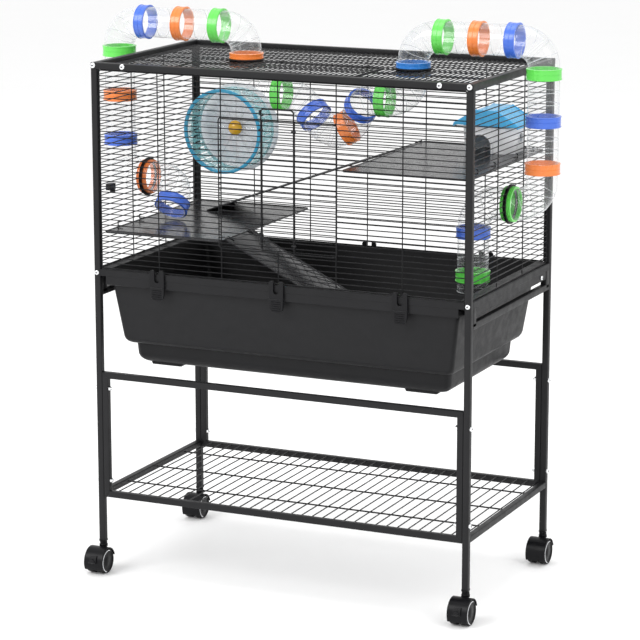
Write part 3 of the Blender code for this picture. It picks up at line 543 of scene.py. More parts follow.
TOP_BOLT_XS = (-LEG_X - 0.001, -0.330, 0.333, LEG_X - 0.001)
TRAY_BOLT_Z = 0.6155
SIDE_BOLT_Y, SIDE_BOLT_Z = 0.160, 0.601
LOWER_BOLT_ZS = (0.380, 0.190)


def make_bolts():
    heads, recess_shades = bmesh.new(), bmesh.new()
    top_z = (TOP_LOW.z + TOP_HIGH.z) / 2 + 0.0006
    for sy in (-1, 1):
        face = sy * HALF_D
        for x in TOP_BOLT_XS:
            bolt_head(heads, recess_shades, (x, face, top_z), (0, sy, 0))
        for sx in (-1, 1):
            bolt_head(heads, recess_shades, (sx * LEG_X, face, TRAY_BOLT_Z), (0, sy, 0), 0.0050)
    for sx in (-1, 1):
        bolt_head(heads, recess_shades, (sx * HALF_W, SIDE_BOLT_Y, SIDE_BOLT_Z), (sx, 0, 0), 0.0046)
        for sy in (-1, 1):
            for z in LOWER_BOLT_ZS:
                bolt_head(heads, recess_shades, (sx * HALF_W, sy * LEG_Y, z), (sx, 0, 0), 0.0050)
                hex_nut(heads, (sx * (HALF_W - 2 * TUBE), sy * LEG_Y, z), (-sx, 0, 0))
    piece("frame_bolts", heads, "zinc")
    piece("frame_bolt_recess_shades", recess_shades, "socket")


def make_shelf():
    low, high = extent("shelf_grille")
    z = (low.z + high.z) / 2
    bm = bmesh.new()
    count, inset, end = 34, 0.004, 0.0004
    for k in range(count + 1):
        x = low.x + inset + (high.x - low.x - 2 * inset) * k / count
        rod(bm, [(x, low.y + end, z + 0.0008), (x, high.y - end, z + 0.0008)], 0.0013)
    for y in (-0.125, 0.0, 0.125):
        rod(bm, [(low.x + end, y, z - 0.0010), (high.x - end, y, z - 0.0010)], 0.0016)
    piece("shelf_wires", bm, "wire", "cage", ["shelf_grille"])


# ---------------------------------------------------------------- grilles
def edge_loop(bm, place, a0, a1, b0, b1, radius=EDGE, corner=0.004):
    """A bent wire round a rectangle."""
    points = []
    for a, b, start in ((a1 - corner, b1 - corner, 0), (a0 + corner, b1 - corner, 90),
                        (a0 + corner, b0 + corner, 180), (a1 - corner, b0 + corner, 270)):
        points += [place(*point) for point in arc(corner, start, start + 90, 3, a, b)]
    rod(bm, points, radius, closed=True)


def spans(low, high, holes):
    """The stretches of a line from low to high that are outside the holes."""
    parts = [(low, high)]
    for start, end in holes:
        kept = []
        for a, b in parts:
            if end <= a or start >= b:
                kept.append((a, b))
                continue
            if start > a:
                kept.append((a, start))
            if end < b:
                kept.append((end, b))
        parts = kept
    return [(a, b) for a, b in parts if b - a > 0.004]


def levels(low, high, pitch=PITCH):
    """Evenly spaced places between low and high, as near the pitch as fits."""
    count = max(1, round((high - low) / pitch))
    return [low + (high - low) * k / count for k in range(1, count)]


def wall_grille(bm, place, a_low, a_high, z_low, z_high, posts, blocked=None):
    """Level wires on the outside and upright posts behind them, inside an edge wire.

    place(a, z, lift) gives a point, lift being the distance out of the wall; blocked(z)
    gives the stretches a level wire leaves open, and posts are (a, start, end).
    """
    edge_loop(bm, lambda a, z: place(a, z, 0), a_low + EDGE, a_high - EDGE, z_low + EDGE,
              z_high - EDGE)
    for z in levels(z_low + EDGE, z_high - EDGE):
        for a, b in spans(a_low + EDGE, a_high - EDGE, blocked(z) if blocked else ()):
            rod(bm, [place(a, z, CROSS), place(b, z, CROSS)])
    for a, start, end in posts:
        rod(bm, [place(a, start, -CROSS), place(a, end, -CROSS)], WIRE * 1.15)


def chord(offset):
    """Half of what a tunnel's hole takes from a wire that passes at a distance."""
    return math.sqrt(max(0, PORT_REACH ** 2 - offset ** 2))


def port_rim(bm, axis, centre):
    """The wire ring round a tunnel's hole in a grille."""
    hoop(bm, PORT_REACH - 0.001, PORT_REACH + 0.0006, -0.0012, 0.0012, 28, axis, centre)


def make_walls():
    door_low, door_high = extent("front_door")
    z0, z1 = PANEL_LOW.z, PANEL_HIGH.z
    opening = (door_low.x + DOOR_LAP, door_high.x - DOOR_LAP)
    sill, head = door_low.z + DOOR_LAP, door_high.z - DOOR_LAP
    wall_y = (PANEL_LOW.y + PANEL_HIGH.y) / 2

    front = bmesh.new()
    posts = [(x, z0 + EDGE, z1 - EDGE) for x in (-0.258, -0.1215, 0.1215, 0.258)]
    posts += [(0.0, z0 + EDGE, sill), (0.0, head, z1 - EDGE)]
    wall_grille(front, lambda a, z, lift: (a, wall_y - lift, z), -PANEL_HIGH.x, PANEL_HIGH.x,
                z0, z1, posts, lambda z: [opening] if sill < z < head else [])
    for z in (sill, head):
        rod(front, [(opening[0], wall_y, z), (opening[1], wall_y, z)])
    piece("front_wires", front, "wire", "cage", ["front_panel"])

    rear = bmesh.new()
    posts = [(x, z0 + EDGE, z1 - EDGE) for x in (-0.258, -0.129, 0.0, 0.129, 0.258)]
    wall_grille(rear, lambda a, z, lift: (a, lift - wall_y, z), -PANEL_HIGH.x, PANEL_HIGH.x,
                z0, z1, posts)
    piece("rear_wires", rear, "wire", "cage", ["rear_panel"])

    for name, side in (("left", -1), ("right", 1)):
        low, high = extent(name + "_panel")
        x = (low.x + high.x) / 2
        port = middle("side_port_collar_" + name)
        wires = bmesh.new()
        posts = [(y, z0 + EDGE, z1 - EDGE) for y in (-0.0695, 0.0695)]

        def round_port(z):
            half = chord(z - port.z)
            return [(port.y - half, port.y + half)] if half else []

        wall_grille(wires, lambda a, z, lift: (x + side * lift, a, z), low.y, high.y, z0,
                    z1, posts, round_port)
        port_rim(wires, (1, 0, 0), (x, port.y, port.z))
        piece(name + "_wires", wires, "wire", "cage", [name + "_panel"])


def make_roof_grille():
    low, high = extent("top_panel")
    door_low, door_high = extent("top_door")
    z = (low.z + high.z) / 2
    hatch_lap, hatch_back = 0.006, -0.040
    hatch = (door_low.x + hatch_lap, door_high.x - hatch_lap, door_low.y + hatch_lap,
             hatch_back)
    ports = [middle("roof_port_collar_left"), middle("roof_port_collar_right")]

    def holes(value, along_x):
        """Stretches left open by the hatch and the ports for a wire at a fixed X or Y."""
        found = []
        a0, a1, b0, b1 = hatch if along_x else (hatch[2], hatch[3], hatch[0], hatch[1])
        if b0 < value < b1:
            found.append((a0, a1))
        for port in ports:
            centre, other = (port.x, port.y) if along_x else (port.y, port.x)
            half = chord(value - other)
            if half:
                found.append((centre - half, centre + half))
        return found

    def level(a, b):
        return a, b, z

    bm = bmesh.new()
    edge_loop(bm, level, low.x + EDGE, high.x - EDGE, low.y + EDGE, high.y - EDGE)
    for x in levels(low.x + EDGE, high.x - EDGE):
        for a, b in spans(low.y + EDGE, high.y - EDGE, holes(x, False)):
            rod(bm, [(x, a, z + CROSS), (x, b, z + CROSS)], ROOF_WIRE)
    for y in levels(low.y + EDGE, high.y - EDGE, ROOF_ROW_PITCH):
        for a, b in spans(low.x + EDGE, high.x - EDGE, holes(y, True)):
            rod(bm, [(a, y, z - CROSS), (b, y, z - CROSS)], ROOF_WIRE)
    edge_loop(bm, level, *hatch, radius=WIRE * 1.2)
    for port in ports:
        port_rim(bm, (0, 0, 1), (port.x, port.y, z))
    piece("roof_wires", bm, "wire", "cage", ["top_panel"])

    z = (door_low.z + door_high.z) / 2
    door = bmesh.new()
    edge_loop(door, level, door_low.x + EDGE, door_high.x - EDGE, door_low.y + EDGE,
              door_high.y - EDGE)
    for x in levels(door_low.x + EDGE, door_high.x - EDGE):
        rod(door, [(x, door_low.y + EDGE, z), (x, door_high.y - EDGE, z)], ROOF_WIRE)
    for y in levels(door_low.y, door_high.y, ROOF_ROW_PITCH):
        rod(door, [(door_low.x + EDGE, y, z), (door_high.x - EDGE, y, z)], ROOF_WIRE)
    piece("roof_door_wires", door, "wire", "top_door", ["top_door"])

    low, high = extent("top_door_latch")
    bar = bmesh.new()
    box(bar, low, high)
    ridges = 7
    for k in range(ridges):
        x = low.x + (high.x - low.x) * (k + 1.5) / (ridges + 2)
        box(bar, (x - 0.0010, low.y + 0.0008, high.z - 0.0004),
            (x + 0.0010, high.y - 0.0008, high.z + 0.0007))
    piece("roof_door_catch", bar, "clip", "top_door_latch", ["top_door_latch"], bevel=0.0005)
    lugs = bmesh.new()
    for x in (door_low.x + 0.035, door_high.x - 0.035):
        rod(lugs, [(x - 0.006, door_high.y, z + 0.0014), (x + 0.006, door_high.y, z + 0.0014)],
            0.0022, 10)
    piece("roof_door_hinge_lugs", lugs, "wire")


def make_front_door():
    low, high = extent("front_door")
    y = (low.y + high.y) / 2
    latch_low, latch_high = extent("front_door_latch")
    radius = 0.0014
    rods = (latch_low.x + radius, latch_high.x - radius)
    door = bmesh.new()
    edge_loop(door, lambda a, z: (a, y, z), low.x + EDGE, high.x - EDGE, low.z + EDGE,
              high.z - EDGE, WIRE * 1.2, 0.007)
    for z in levels(low.z + EDGE, high.z - EDGE):
        rod(door, [(low.x + EDGE, y - 0.0004, z), (high.x - EDGE, y - 0.0004, z)])
    for x in rods:
        rod(door, [(x, y + 0.0012, low.z + EDGE), (x, y + 0.0012, high.z - EDGE)],
            WIRE * 1.1)
    piece("front_door_wires", door, "wire", "front_door", ["front_door"])

    y = (latch_low.y + latch_high.y) / 2
    top = latch_high.z - radius
    bend = 0.006
    path = [(rods[1], latch_low.z)] + arc(bend, 0, 90, 3, rods[1] - bend, top - bend)
    path += arc(bend, 90, 180, 3, rods[0] + bend, top - bend) + [(rods[0], latch_low.z)]
    latch = bmesh.new()
    rod(latch, [(a, y, b) for a, b in path], radius, 10)
    curl = arc(0.0052, 90, 314, 8, rods[0] + 0.003, top - 0.007)
    rod(latch, [(a, y - 0.0022, b) for a, b in curl], radius, 10)
    for z in (low.z + 0.018, high.z - 0.020):
        for x in rods:
            rod(latch, [(x - 0.0045, y - 0.0004, z), (x + 0.0045, y - 0.0004, z)], 0.0018, 10)
    piece("front_door_latch_wire", latch, "wire", "front_door_latch", ["front_door_latch"])


def make_side_catch():
    low, high = extent("side_catch")
    centre = (low + high) / 2
    bm = bmesh.new()
    box(bm, (low.x, low.y, low.z + 0.007), (high.x, high.y, high.z))
    box(bm, (low.x + 0.001, high.y - 0.005, low.z), (high.x - 0.001, high.y, low.z + 0.009))
    turned(bm, [(0, 0), (0.0045, 0), (0.0042, 0.0014), (0, 0.0014)], 16, (-1, 0, 0),
           (low.x + 0.0002, centre.y - 0.001, centre.z + 0.003))
    piece("side_catch_handle", bm, "clip", "side_catch", ["side_catch"], bevel=0.0006)


# ---------------------------------------------------------------- tray
def corner_cutter(inner_x, inner_y, low_z, high_z):
    """Blocks over the tray's four corners, where the legs stand."""
    bm = bmesh.new()
    for sx, sy in CORNERS.values():
        xs = sorted((sx * inner_x, sx * (HALF_W + 0.02)))
        ys = sorted((sy * inner_y, sy * (HALF_D + 0.02)))
        box(bm, (xs[0], ys[0], low_z), (xs[1], ys[1], high_z))
    return bm


def make_tray():
    """The shell goes up the outside and down the inside, by half sizes, corner and height."""
    wall = 0.0025
    rim_low, rim_step = 0.592, 0.6095
    base = TRAY_LOW.z + 0.0043
    drop, curve = 0.0225, 0.0240
    rows = [(0.300, 0.126, 0.010, base + 0.0012), (0.303, 0.129, 0.010, base),
            (0.312, 0.142, 0.010, base)]
    for k in range(1, 7):
        turn = math.pi / 2 * k / 6
        rows.append((0.3135 + curve * math.sin(turn), 0.1435 + curve * math.sin(turn),
                     0.010 + 0.004 * k / 6, base + drop * (1 - math.cos(turn))))
    rows += [(0.3387, 0.1688, 0.014, 0.4655), (0.3389, 0.1690, 0.014, 0.4680),
             (0.3366, 0.1668, 0.013, 0.4690), (0.3366, 0.1668, 0.013, 0.4705),
             (0.3440, 0.1818, 0.012, 0.4712), (0.3490, 0.1868, 0.012, 0.4738),
             (0.3525, 0.1908, 0.011, 0.4790), (0.3540, 0.1923, 0.010, 0.4850),
             (0.3690, 0.2055, 0.009, rim_low + 0.0003)]
    for inset, z in ((0.0022, rim_low), (0.0010, rim_low + 0.0010),
                     (0.0008, rim_step - 0.0006), (0.0002, rim_step), (0, RIM_TOP - 0.0012),
                     (0.0012, RIM_TOP)):
        rows.append((HALF_W - inset, HALF_D - inset, 0.004, z))
    rows += [(0.3722, 0.2078, 0.010, RIM_TOP), (0.3705, 0.2061, 0.010, RIM_TOP - 0.0014),
             (0.3540 - wall, 0.1923 - wall, 0.010, 0.4875),
             (0.3500 - wall, 0.1880 - wall, 0.011, 0.4795),
             (0.3420 - wall, 0.1770, 0.012, 0.4748),
             (0.3366 - wall, 0.1668 - wall, 0.012, 0.4720),
             (0.3366 - wall, 0.1668 - wall, 0.012, 0.4520)]
    for k in range(5, -1, -1):
        turn = math.pi / 2 * k / 6
        rows.append((0.3135 - wall + curve * math.sin(turn),
                     0.1435 - wall + curve * math.sin(turn), 0.010,
                     base + wall + drop * (1 - math.cos(turn))))
    shell = bmesh.new()
    loft(shell, [[(x, y, z) for x, y in rounded(half_x, half_y, corner, 8)]
                 for half_x, half_y, corner, z in rows])
    leg_cut = corner_cutter(LEG_X - TUBE / 2 - GAP, LEG_Y - TUBE / 2 - GAP, 0.55, 0.70)
    stub_cut = corner_cutter(0.3745, 0.1890, 0.55, rim_step)
    piece("tray_shell", shell, "tray", "cage", ["tray"], smooth=28,
          cuts=[leg_cut, stub_cut])
    feet = bmesh.new()
    for sx, sy in CORNERS.values():
        outline = [(-0.037, base + 0.002), (-0.034, TRAY_LOW.z), (0.030, TRAY_LOW.z),
                   (0.037, base + 0.002)]
        prism(feet, [(sx * 0.275 + a, sy * 0.136 - 0.015, b) for a, b in outline], (0, 1, 0),
              0.030)
    piece("tray_feet", feet, "tray", bevel=0.0006)
    ribs = bmesh.new()
    for k in range(-4, 5):
        x = k * 0.068
        box(ribs, (x - 0.0009, -0.118, base + wall - 0.0004),
            (x + 0.0009, 0.118, base + wall + 0.0012))
    piece("tray_floor_ribs", ribs, "tray", bevel=0.0004)


def make_clips():
    for row, side in (("front", -1), ("rear", 1)):
        for place in ("left", "centre", "right"):
            node = "tray_clip_%s_%s" % (row, place)
            low, high = extent(node)
            x = (low.x + high.x) / 2
            half = (high.x - low.x) / 2
            inner, outer = (high.y, low.y) if side < 0 else (low.y, high.y)
            slot, slot_low = 0.0056, high.z - 0.0200
            outline = []
            for k in range(13):
                turn = math.pi * (1 + k / 12)
                outline.append((x + (half - 0.001) * math.cos(turn),
                                low.z + 0.010 + 0.010 * math.sin(turn)))
            outline += [(x + half, low.z + 0.030), (x + half, high.z - 0.003),
                        (x + half - 0.003, high.z), (x + slot + 0.0010, high.z),
                        (x + slot, high.z - 0.0012)]
            outline += arc(slot, 0, -180, 8, x, slot_low)
            outline += [(x - slot, high.z - 0.0012), (x - slot - 0.0010, high.z),
                        (x - half + 0.003, high.z), (x - half, high.z - 0.003),
                        (x - half, low.z + 0.030)]
            thick = abs(outer - inner) - 0.0018
            plate = bmesh.new()
            prism(plate, [(a, inner, b) for a, b in outline], (0, side, 0), thick)
            piece(node + "_plate", plate, "clip", node, [node], bevel=0.0007)
            ribs = bmesh.new()
            face = inner + side * thick
            for k in range(5):
                z = low.z + 0.0045 + 0.0042 * k
                reach = half - 0.0055
                prism(ribs, [(x - reach, face - side * 0.0003, z - 0.0009),
                             (x - reach, face + side * 0.0014, z),
                             (x - reach, face - side * 0.0003, z + 0.0009)], (1, 0, 0),
                      2 * reach)
            rod(ribs, [(x - half + 0.002, face, low.z + 0.0265),
                       (x + half - 0.002, face, low.z + 0.0265)], 0.0011, 10)
            piece(node + "_grip", ribs, "clip", node, bevel=0.0002)


# ---------------------------------------------------------------- casters
def make_casters():
    for name, (_, sy) in CORNERS.items():
        wheel_low, wheel_high = extent("caster_wheels_" + name)
        hood_low, hood_high = extent("caster_housing_" + name)
        hub = (wheel_low + wheel_high) / 2
        x, y, axle_z = hub.x, hub.y, hub.z
        leg_y = sy * LEG_Y
        radius = hub.z
        hood_r = y - hood_low.y
        half = (hood_high.x - hood_low.x) / 2
        body = "caster_" + name

        hood = bmesh.new()
        inner, start, stop = hood_r - 0.0018, 15, 212
        band = arc(hood_r, start, stop, 28, y, axle_z) + arc(inner, stop, start, 28, y, axle_z)
        prism(hood, [(x - half, a, b) for a, b in band], (1, 0, 0), 2 * half)
        fin = arc(hood_r - 0.0009, stop, 66, 20, y, axle_z)
        fin += [(leg_y - 0.0085, 0.053), (leg_y + 0.0085, 0.053), (leg_y + 0.0085, 0.034),
                (y + 0.006, 0.018), (y - 0.006, 0.016)]
        prism(hood, [(x - 0.0034, a, b) for a, b in fin], (1, 0, 0), 0.0068)
        piece("caster_hood_" + name, hood, "caster", body, ["caster_housing_" + name],
              bevel=0.0005)
        neck = bmesh.new()
        turned(neck, [(0, 0.0500), (0.0085, 0.0500), (0.0085, 0.0545), (0.0076, 0.0556),
                      (0.0076, 0.0598), (0.0068, LEG_LOW.z - 0.0004), (0, LEG_LOW.z - 0.0004)],
               20, (0, 0, 1), (x, leg_y, 0))
        piece("caster_neck_" + name, neck, "caster", body)
        stem = bmesh.new()
        turned(stem, [(0, 0.0600), (0.0040, 0.0600), (0.0040, 0.0970), (0.0032, 0.0980),
                      (0, 0.0980)], 16, (0, 0, 1), (x, leg_y, 0))
        piece("caster_stem_" + name, stem, "zinc", body)

        tread, disc, line = bmesh.new(), bmesh.new(), bmesh.new()
        outer = half - 0.0006
        web = 0.0045
        for side in (-1, 1):
            axis = (side, 0, 0)
            turned(tread, [(radius - 0.0040, web), (radius - 0.0010, web),
                           (radius, web + 0.0012), (radius, outer - 0.0030),
                           (radius - 0.0006, outer - 0.0012), (radius - 0.0022, outer),
                           (radius - 0.0040, outer)], 40, axis, (x, y, axle_z))
            turned(disc, [(0, web + 0.0004), (radius - 0.0039, web + 0.0004),
                          (radius - 0.0039, outer - 0.0008), (radius - 0.0062, outer - 0.0020),
                          (0.0100, outer - 0.0012), (0.0088, outer - 0.0003),
                          (0, outer + 0.0001)], 40, axis, (x, y, axle_z))
            # A pale arc over part of each wheel face, turning with the wheel: a painted
            # highlight.
            rod(line, [(x + side * (outer - 0.0003), a, b)
                       for a, b in arc(radius - 0.0032, 70, 250, 24, y, axle_z)], 0.0009, 6)
        turned(disc, [(0, -web - 0.001), (0.0030, -web - 0.001), (0.0030, web + 0.001),
                      (0, web + 0.001)], 16, (1, 0, 0), (x, y, axle_z))
        rolling = body + "_wheels"
        piece("caster_discs_" + name, disc, "caster", rolling, ["caster_wheels_" + name])
        piece("caster_treads_" + name, tread, "tread", rolling)
        piece("caster_painted_highlights_" + name, line, "painted_highlight", rolling)
        if sy < 0:
            make_brake(name, x, y, axle_z, hood_r)


def make_brake(name, x, y, axle_z, hood_r):
    node = "caster_brake_" + name
    low, high = extent(node)
    half = (high.x - low.x) / 2
    inner, outer = hood_r + GAP, hood_r + 0.0026
    band = arc(outer, 146, 176, 8, y, axle_z) + arc(inner, 176, 146, 8, y, axle_z)
    bm = bmesh.new()
    prism(bm, [(x - half, a, b) for a, b in band], (1, 0, 0), 2 * half)
    lip = [(y - outer + 0.0008, axle_z + 0.0018), (low.y + 0.0008, axle_z + 0.0012),
           (low.y, axle_z + 0.0022), (low.y + 0.0006, axle_z + 0.0034),
           (y - outer + 0.0004, axle_z + 0.0046)]
    prism(bm, [(x - half, a, b) for a, b in lip], (1, 0, 0), 2 * half)
    for at in arc(outer, 151, 166, 3, y, axle_z):
        rod(bm, [(x - half + 0.0015, *at), (x + half - 0.0015, *at)], 0.0005, 6)
    turned(bm, [(0, 0), (0.0052, 0), (0.0050, 0.0024), (0.0036, 0.0038), (0, 0.0042)], 20,
           (0, -1, 0), (x, y - hood_r - 0.0006, axle_z + 0.0045))
    piece("caster_pedal_" + name, bm, "clip", "caster_%s_brake" % name, [node], bevel=0.0003)


# ---------------------------------------------------------------- tunnels
TUNNEL_R = 0.0305
PIPE_SIDES, RING_SIDES = 36, 40
RING_LENGTH = 0.0210
RING_BORE, RING_LIP = TUNNEL_R + 0.0002, 0.0345
BEND_R = 0.050
CURVE_PULL = 0.38            # how far a flexible stretch keeps its heading, of its length
RUN_X = 0.4565               # outer vertical runs
RUN_FOOT = 0.013             # clear stretch under the lowest outer ring
BRIDGE_Z = 1.0895
ROOF_RING, PORT_RING = 0.0110, 0.0055
STUB = 0.016                 # clear stretch between an inner port and its elbow
COLLAR_HALF = 0.0050         # from the grille's middle to where a port's ring starts
COLLAR_SHOWN = 0.0030        # half thickness of a side collar's black plate


class Track:
    """The centre line of a tunnel, with the screw rings and moulded seams along it."""

    def __init__(self, start, heading):
        self.at = Vector(start)
        self.heading = Vector(heading).normalized()
        self.side = self.heading.orthogonal().normalized()
        self.stations, self.rings, self.seams = [], [], []
        self.note()

    def note(self):
        self.stations.append((self.at.copy(), self.heading.copy(), self.side.copy()))

    def aim(self, heading):
        heading = Vector(heading).normalized()
        self.side.rotate(self.heading.rotation_difference(heading))
        self.heading = heading

    def seam(self):
        self.seams.append((self.at.copy(), self.heading.copy()))

    def parts(self, steps):
        """Goes through a curved stretch in steps, with a seam after every fourth."""
        for k in range(1, steps + 1):
            yield k / steps
            self.note()
            if k % 4 == 0 and k < steps:
                self.seam()

    def straight(self, length, seams=0):
        for k in range(seams + 1):
            self.at += self.heading * (length / (seams + 1))
            self.note()
            if k < seams:
                self.seam()
        return self

    def ring(self, colour, length=RING_LENGTH):
        self.rings.append((colour, self.at.copy(), self.heading.copy(), length))
        self.at += self.heading * length
        self.note()
        return self

    def bend(self, towards):
        """A quarter turn made of four gores."""
        first = self.heading.copy()
        axis = first.cross(Vector(towards)).normalized()
        centre = self.at + axis.cross(first) * BEND_R
        arm = self.at - centre
        for part in self.parts(16):
            turn = Matrix.Rotation(math.pi / 2 * part, 3, axis)
            self.at = centre + turn @ arm
            self.aim(turn @ first)
        return self

    def ring_at(self, colour, centre, heading):
        """A flexible stretch that ends in a ring with the given centre."""
        heading = Vector(heading).normalized()
        p0, p3 = self.at.copy(), Vector(centre) - heading * RING_LENGTH / 2
        reach = (p3 - p0).length * CURVE_PULL
        p1, p2 = p0 + self.heading * reach, p3 - heading * reach
        for t in self.parts(12):
            s = 1 - t
            slope = (p1 - p0) * s * s + (p2 - p1) * 2 * s * t + (p3 - p2) * t * t
            self.at = p0 * s ** 3 + p1 * 3 * s * s * t + p2 * 3 * s * t * t + p3 * t ** 3
            self.aim(slope)
        return self.ring(colour)

    def port(self, colour, length):
        """The ring half beside a port's collar, when the line starts at the grille."""
        self.straight(COLLAR_HALF)
        return self.ring(colour, length)

    def lay(self, node):
        """Draws the clear pipe, its seams and its coloured rings for a CAD node."""
        pipe = bmesh.new()
        loops = []
        for at, heading, side in self.stations:
            other = heading.cross(side)
            loops.append([pipe.verts.new(at + side * a + other * b)
                          for a, b in circle(TUNNEL_R, PIPE_SIDES)])
        for lower, upper in zip(loops, loops[1:]):
            bridge(pipe, lower, upper)
        piece(node + "_pipe", pipe, "clear", "cage", [node], smooth=60)
        seams = bmesh.new()
        ends = [self.stations[0][:2], self.stations[-1][:2]]
        for at, heading in self.seams + ends:
            turned(seams, [(TUNNEL_R - 0.0002, -0.0007), (TUNNEL_R + 0.0005, -0.0004),
                           (TUNNEL_R + 0.0005, 0.0004), (TUNNEL_R - 0.0002, 0.0007)],
                   PIPE_SIDES, heading, at)
        piece(node + "_seams", seams, "seam")
        for colour in sorted({ring[0] for ring in self.rings}):
            bm = bmesh.new()
            for used, at, heading, length in self.rings:
                if used == colour:
                    turned(bm, ring_profile(length), RING_SIDES, heading, at)
            piece("%s_%s_rings" % (node, colour), bm, colour)


def ring_profile(length):
    """A screw ring: a lip at each end, a plain band and a shallow groove at mid length."""
    band, lip, half = 0.0337, RING_LIP, length / 2
    rise = [(RING_BORE, 0.0), (lip - 0.0006, 0.0), (lip, 0.0006), (lip, 0.0018),
            (band, 0.0024), (band, half - 0.0008), (band - 0.0006, half - 0.0002)]
    return rise + [(radius, length - height) for radius, height in reversed(rise)]


def collar_profile(half):
    """A flanged collar that snaps round the tunnel and grips the grille between flanges."""
    bore, core, flange = TUNNEL_R + 0.0004, TUNNEL_R + 0.0024, 0.0385
    return [(bore, -half), (flange - 0.0008, -half), (flange, -half + 0.0008),
            (flange, -half + 0.0014), (core, -half + 0.0018), (core, half - 0.0018),
            (flange, half - 0.0014), (flange, half - 0.0008), (flange - 0.0008, half),
            (bore, half)]


def make_collars():
    """Black spools that grip the grilles; the side ones stand between coloured ring halves. The
    roof ones are black as painted shade: there the collars are orange and blue, in shadow.
    """
    for node, axis, half, halves in (
            ("side_port_collar_left", (1, 0, 0), COLLAR_SHOWN, "orange"),
            ("side_port_collar_right", (1, 0, 0), COLLAR_SHOWN, "green"),
            # roof collars: their black is painted shade over orange and blue
            ("roof_port_collar_left", (0, 0, 1), COLLAR_HALF, None),
            ("roof_port_collar_right", (0, 0, 1), COLLAR_HALF, None)):
        centre = middle(node)
        bm = bmesh.new()
        turned(bm, collar_profile(half), 44, axis, centre)
        for side in (-1, 1):
            place = Matrix.Translation(centre + Vector(axis) * side * half) @ turn_to(axis)
            for a, b in circle(0.0362, 8):
                turned(bm, [(0, -0.0003), (0.0012, -0.0003), (0.0009, 0.0004), (0, 0.0004)],
                       8, Vector(axis) * side, place @ Vector((a, b, 0)))
        piece(node + "_flanges", bm, "clip", "cage", [node])
        if halves:
            ring = bmesh.new()
            for side in (-1, 1):
                hoop(ring, RING_BORE, RING_LIP, half, COLLAR_HALF, RING_SIDES,
                     Vector(axis) * side, centre)
            piece(node + "_ring_halves", ring, halves)


def outer_run(node, side, base, port, colours):
    """Roof port, bridge, vertical run and side port, all outside the cage."""
    shades = iter(colours)
    across = Vector((side, 0, 0))
    run = Track((base.x, base.y, base.z + GAP), (0, 0, 1))
    run.port(next(shades), ROOF_RING).straight(BRIDGE_Z - BEND_R - run.at.z)
    run.bend(across)
    length = (RUN_X - BEND_R - abs(run.at.x) - 3 * RING_LENGTH) / 2
    run.ring(next(shades)).straight(length, 1).ring(next(shades)).straight(length, 1)
    run.ring(next(shades)).bend((0, 0, -1))
    length = (run.at.z - port.z - BEND_R - 3 * RING_LENGTH - RUN_FOOT) / 2
    run.ring(next(shades)).straight(length, 2).ring(next(shades)).straight(length, 2)
    run.ring(next(shades)).straight(RUN_FOOT)
    run.bend(-across)
    run.straight(abs(run.at.x) - abs(port.x) - GAP - COLLAR_HALF - PORT_RING)
    run.ring(next(shades), PORT_RING).straight(COLLAR_HALF)
    run.lay(node)


def make_tunnels():
    left_base, right_base = middle("roof_port_collar_left"), middle("roof_port_collar_right")
    left_port, right_port = middle("side_port_collar_left"), middle("side_port_collar_right")
    outer_run("tunnel_outer_left", -1, left_base, left_port,
              ("orange", "green", "orange", "blue", "green", "orange", "blue", "orange"))
    outer_run("tunnel_outer_right", 1, right_base, right_port,
              ("azure", "green", "orange", "blue", "green", "blue", "orange", "green"))

    left = Track(left_port + Vector((GAP, 0, 0)), (1, 0, 0))
    left.port("orange", PORT_RING).straight(STUB).bend((0, -0.69, -0.72)).straight(0.003)
    left.ring("blue").straight(0.001)
    left.lay("tunnel_inner_left")

    right = Track(right_port - Vector((GAP, 0, 0)), (-1, 0, 0))
    right.port("green", PORT_RING).straight(STUB).bend((0, 0, -1))
    right.ring("blue").straight(0.065, 2).ring("green").straight(0.020)
    right.lay("tunnel_inner_right")

    loop = Track(left_base - Vector((0, 0, GAP)), (0, 0, -1))
    loop.port("orange", PORT_RING).bend((1, 0, 0)).straight(STUB).ring("green")
    loop.ring_at("blue", (-0.025, 0.005, 0.922), (0.74, -0.28, -0.64))
    loop.ring_at("orange", (0.044, 0.010, 0.900), (0.86, 0.15, 0.50))
    loop.ring_at("blue", (0.079, 0.005, 0.946), (0.65, -0.48, 0.61))
    last = (right_base.x - BEND_R - RING_LENGTH / 2, right_base.y,
            right_base.z - GAP - COLLAR_HALF - PORT_RING - BEND_R)
    loop.ring_at("green", last, (1, 0, 0)).bend((0, 0, 1))
    loop.ring("azure", PORT_RING).straight(COLLAR_HALF)
    loop.lay("tunnel_roof_loop")


# ---------------------------------------------------------------- platforms and ramps
def make_platforms():
    for node, side in (("lower_platform", -1), ("upper_platform", 1)):
        low, high = extent(node)
        centre = (low + high) / 2
        half_x, half_y = (high.x - low.x) / 2, (high.y - low.y) / 2
        rings = []
        for inset, z in ((0.0012, low.z), (0.0, low.z + 0.0010), (0.0, high.z + 0.0006),
                         (0.0008, high.z + 0.0012), (0.0030, high.z + 0.0012),
                         (0.0042, high.z)):
            rings.append([(centre.x + x, centre.y + y, z) for x, y in
                          rounded(half_x - inset, half_y - inset, 0.008 - inset, 8)])
        plate = bmesh.new()
        loft(plate, rings)
        piece(node + "_plate", plate, "platform", "cage", [node])
        hooks = bmesh.new()
        rim = side * (HALF_W - TUBE - 0.004)
        for y in (-0.150, -0.060, 0.060, 0.150):
            outer = side * half_x + centre.x
            top = high.z + 0.0030
            rod(hooks, [(outer - side * 0.012, y, top), (rim, y, top),
                        (rim, y, top + 0.0075), (rim - side * 0.0035, y, top + 0.0085)],
                0.0012)
        piece(node + "_hooks", hooks, "wire")


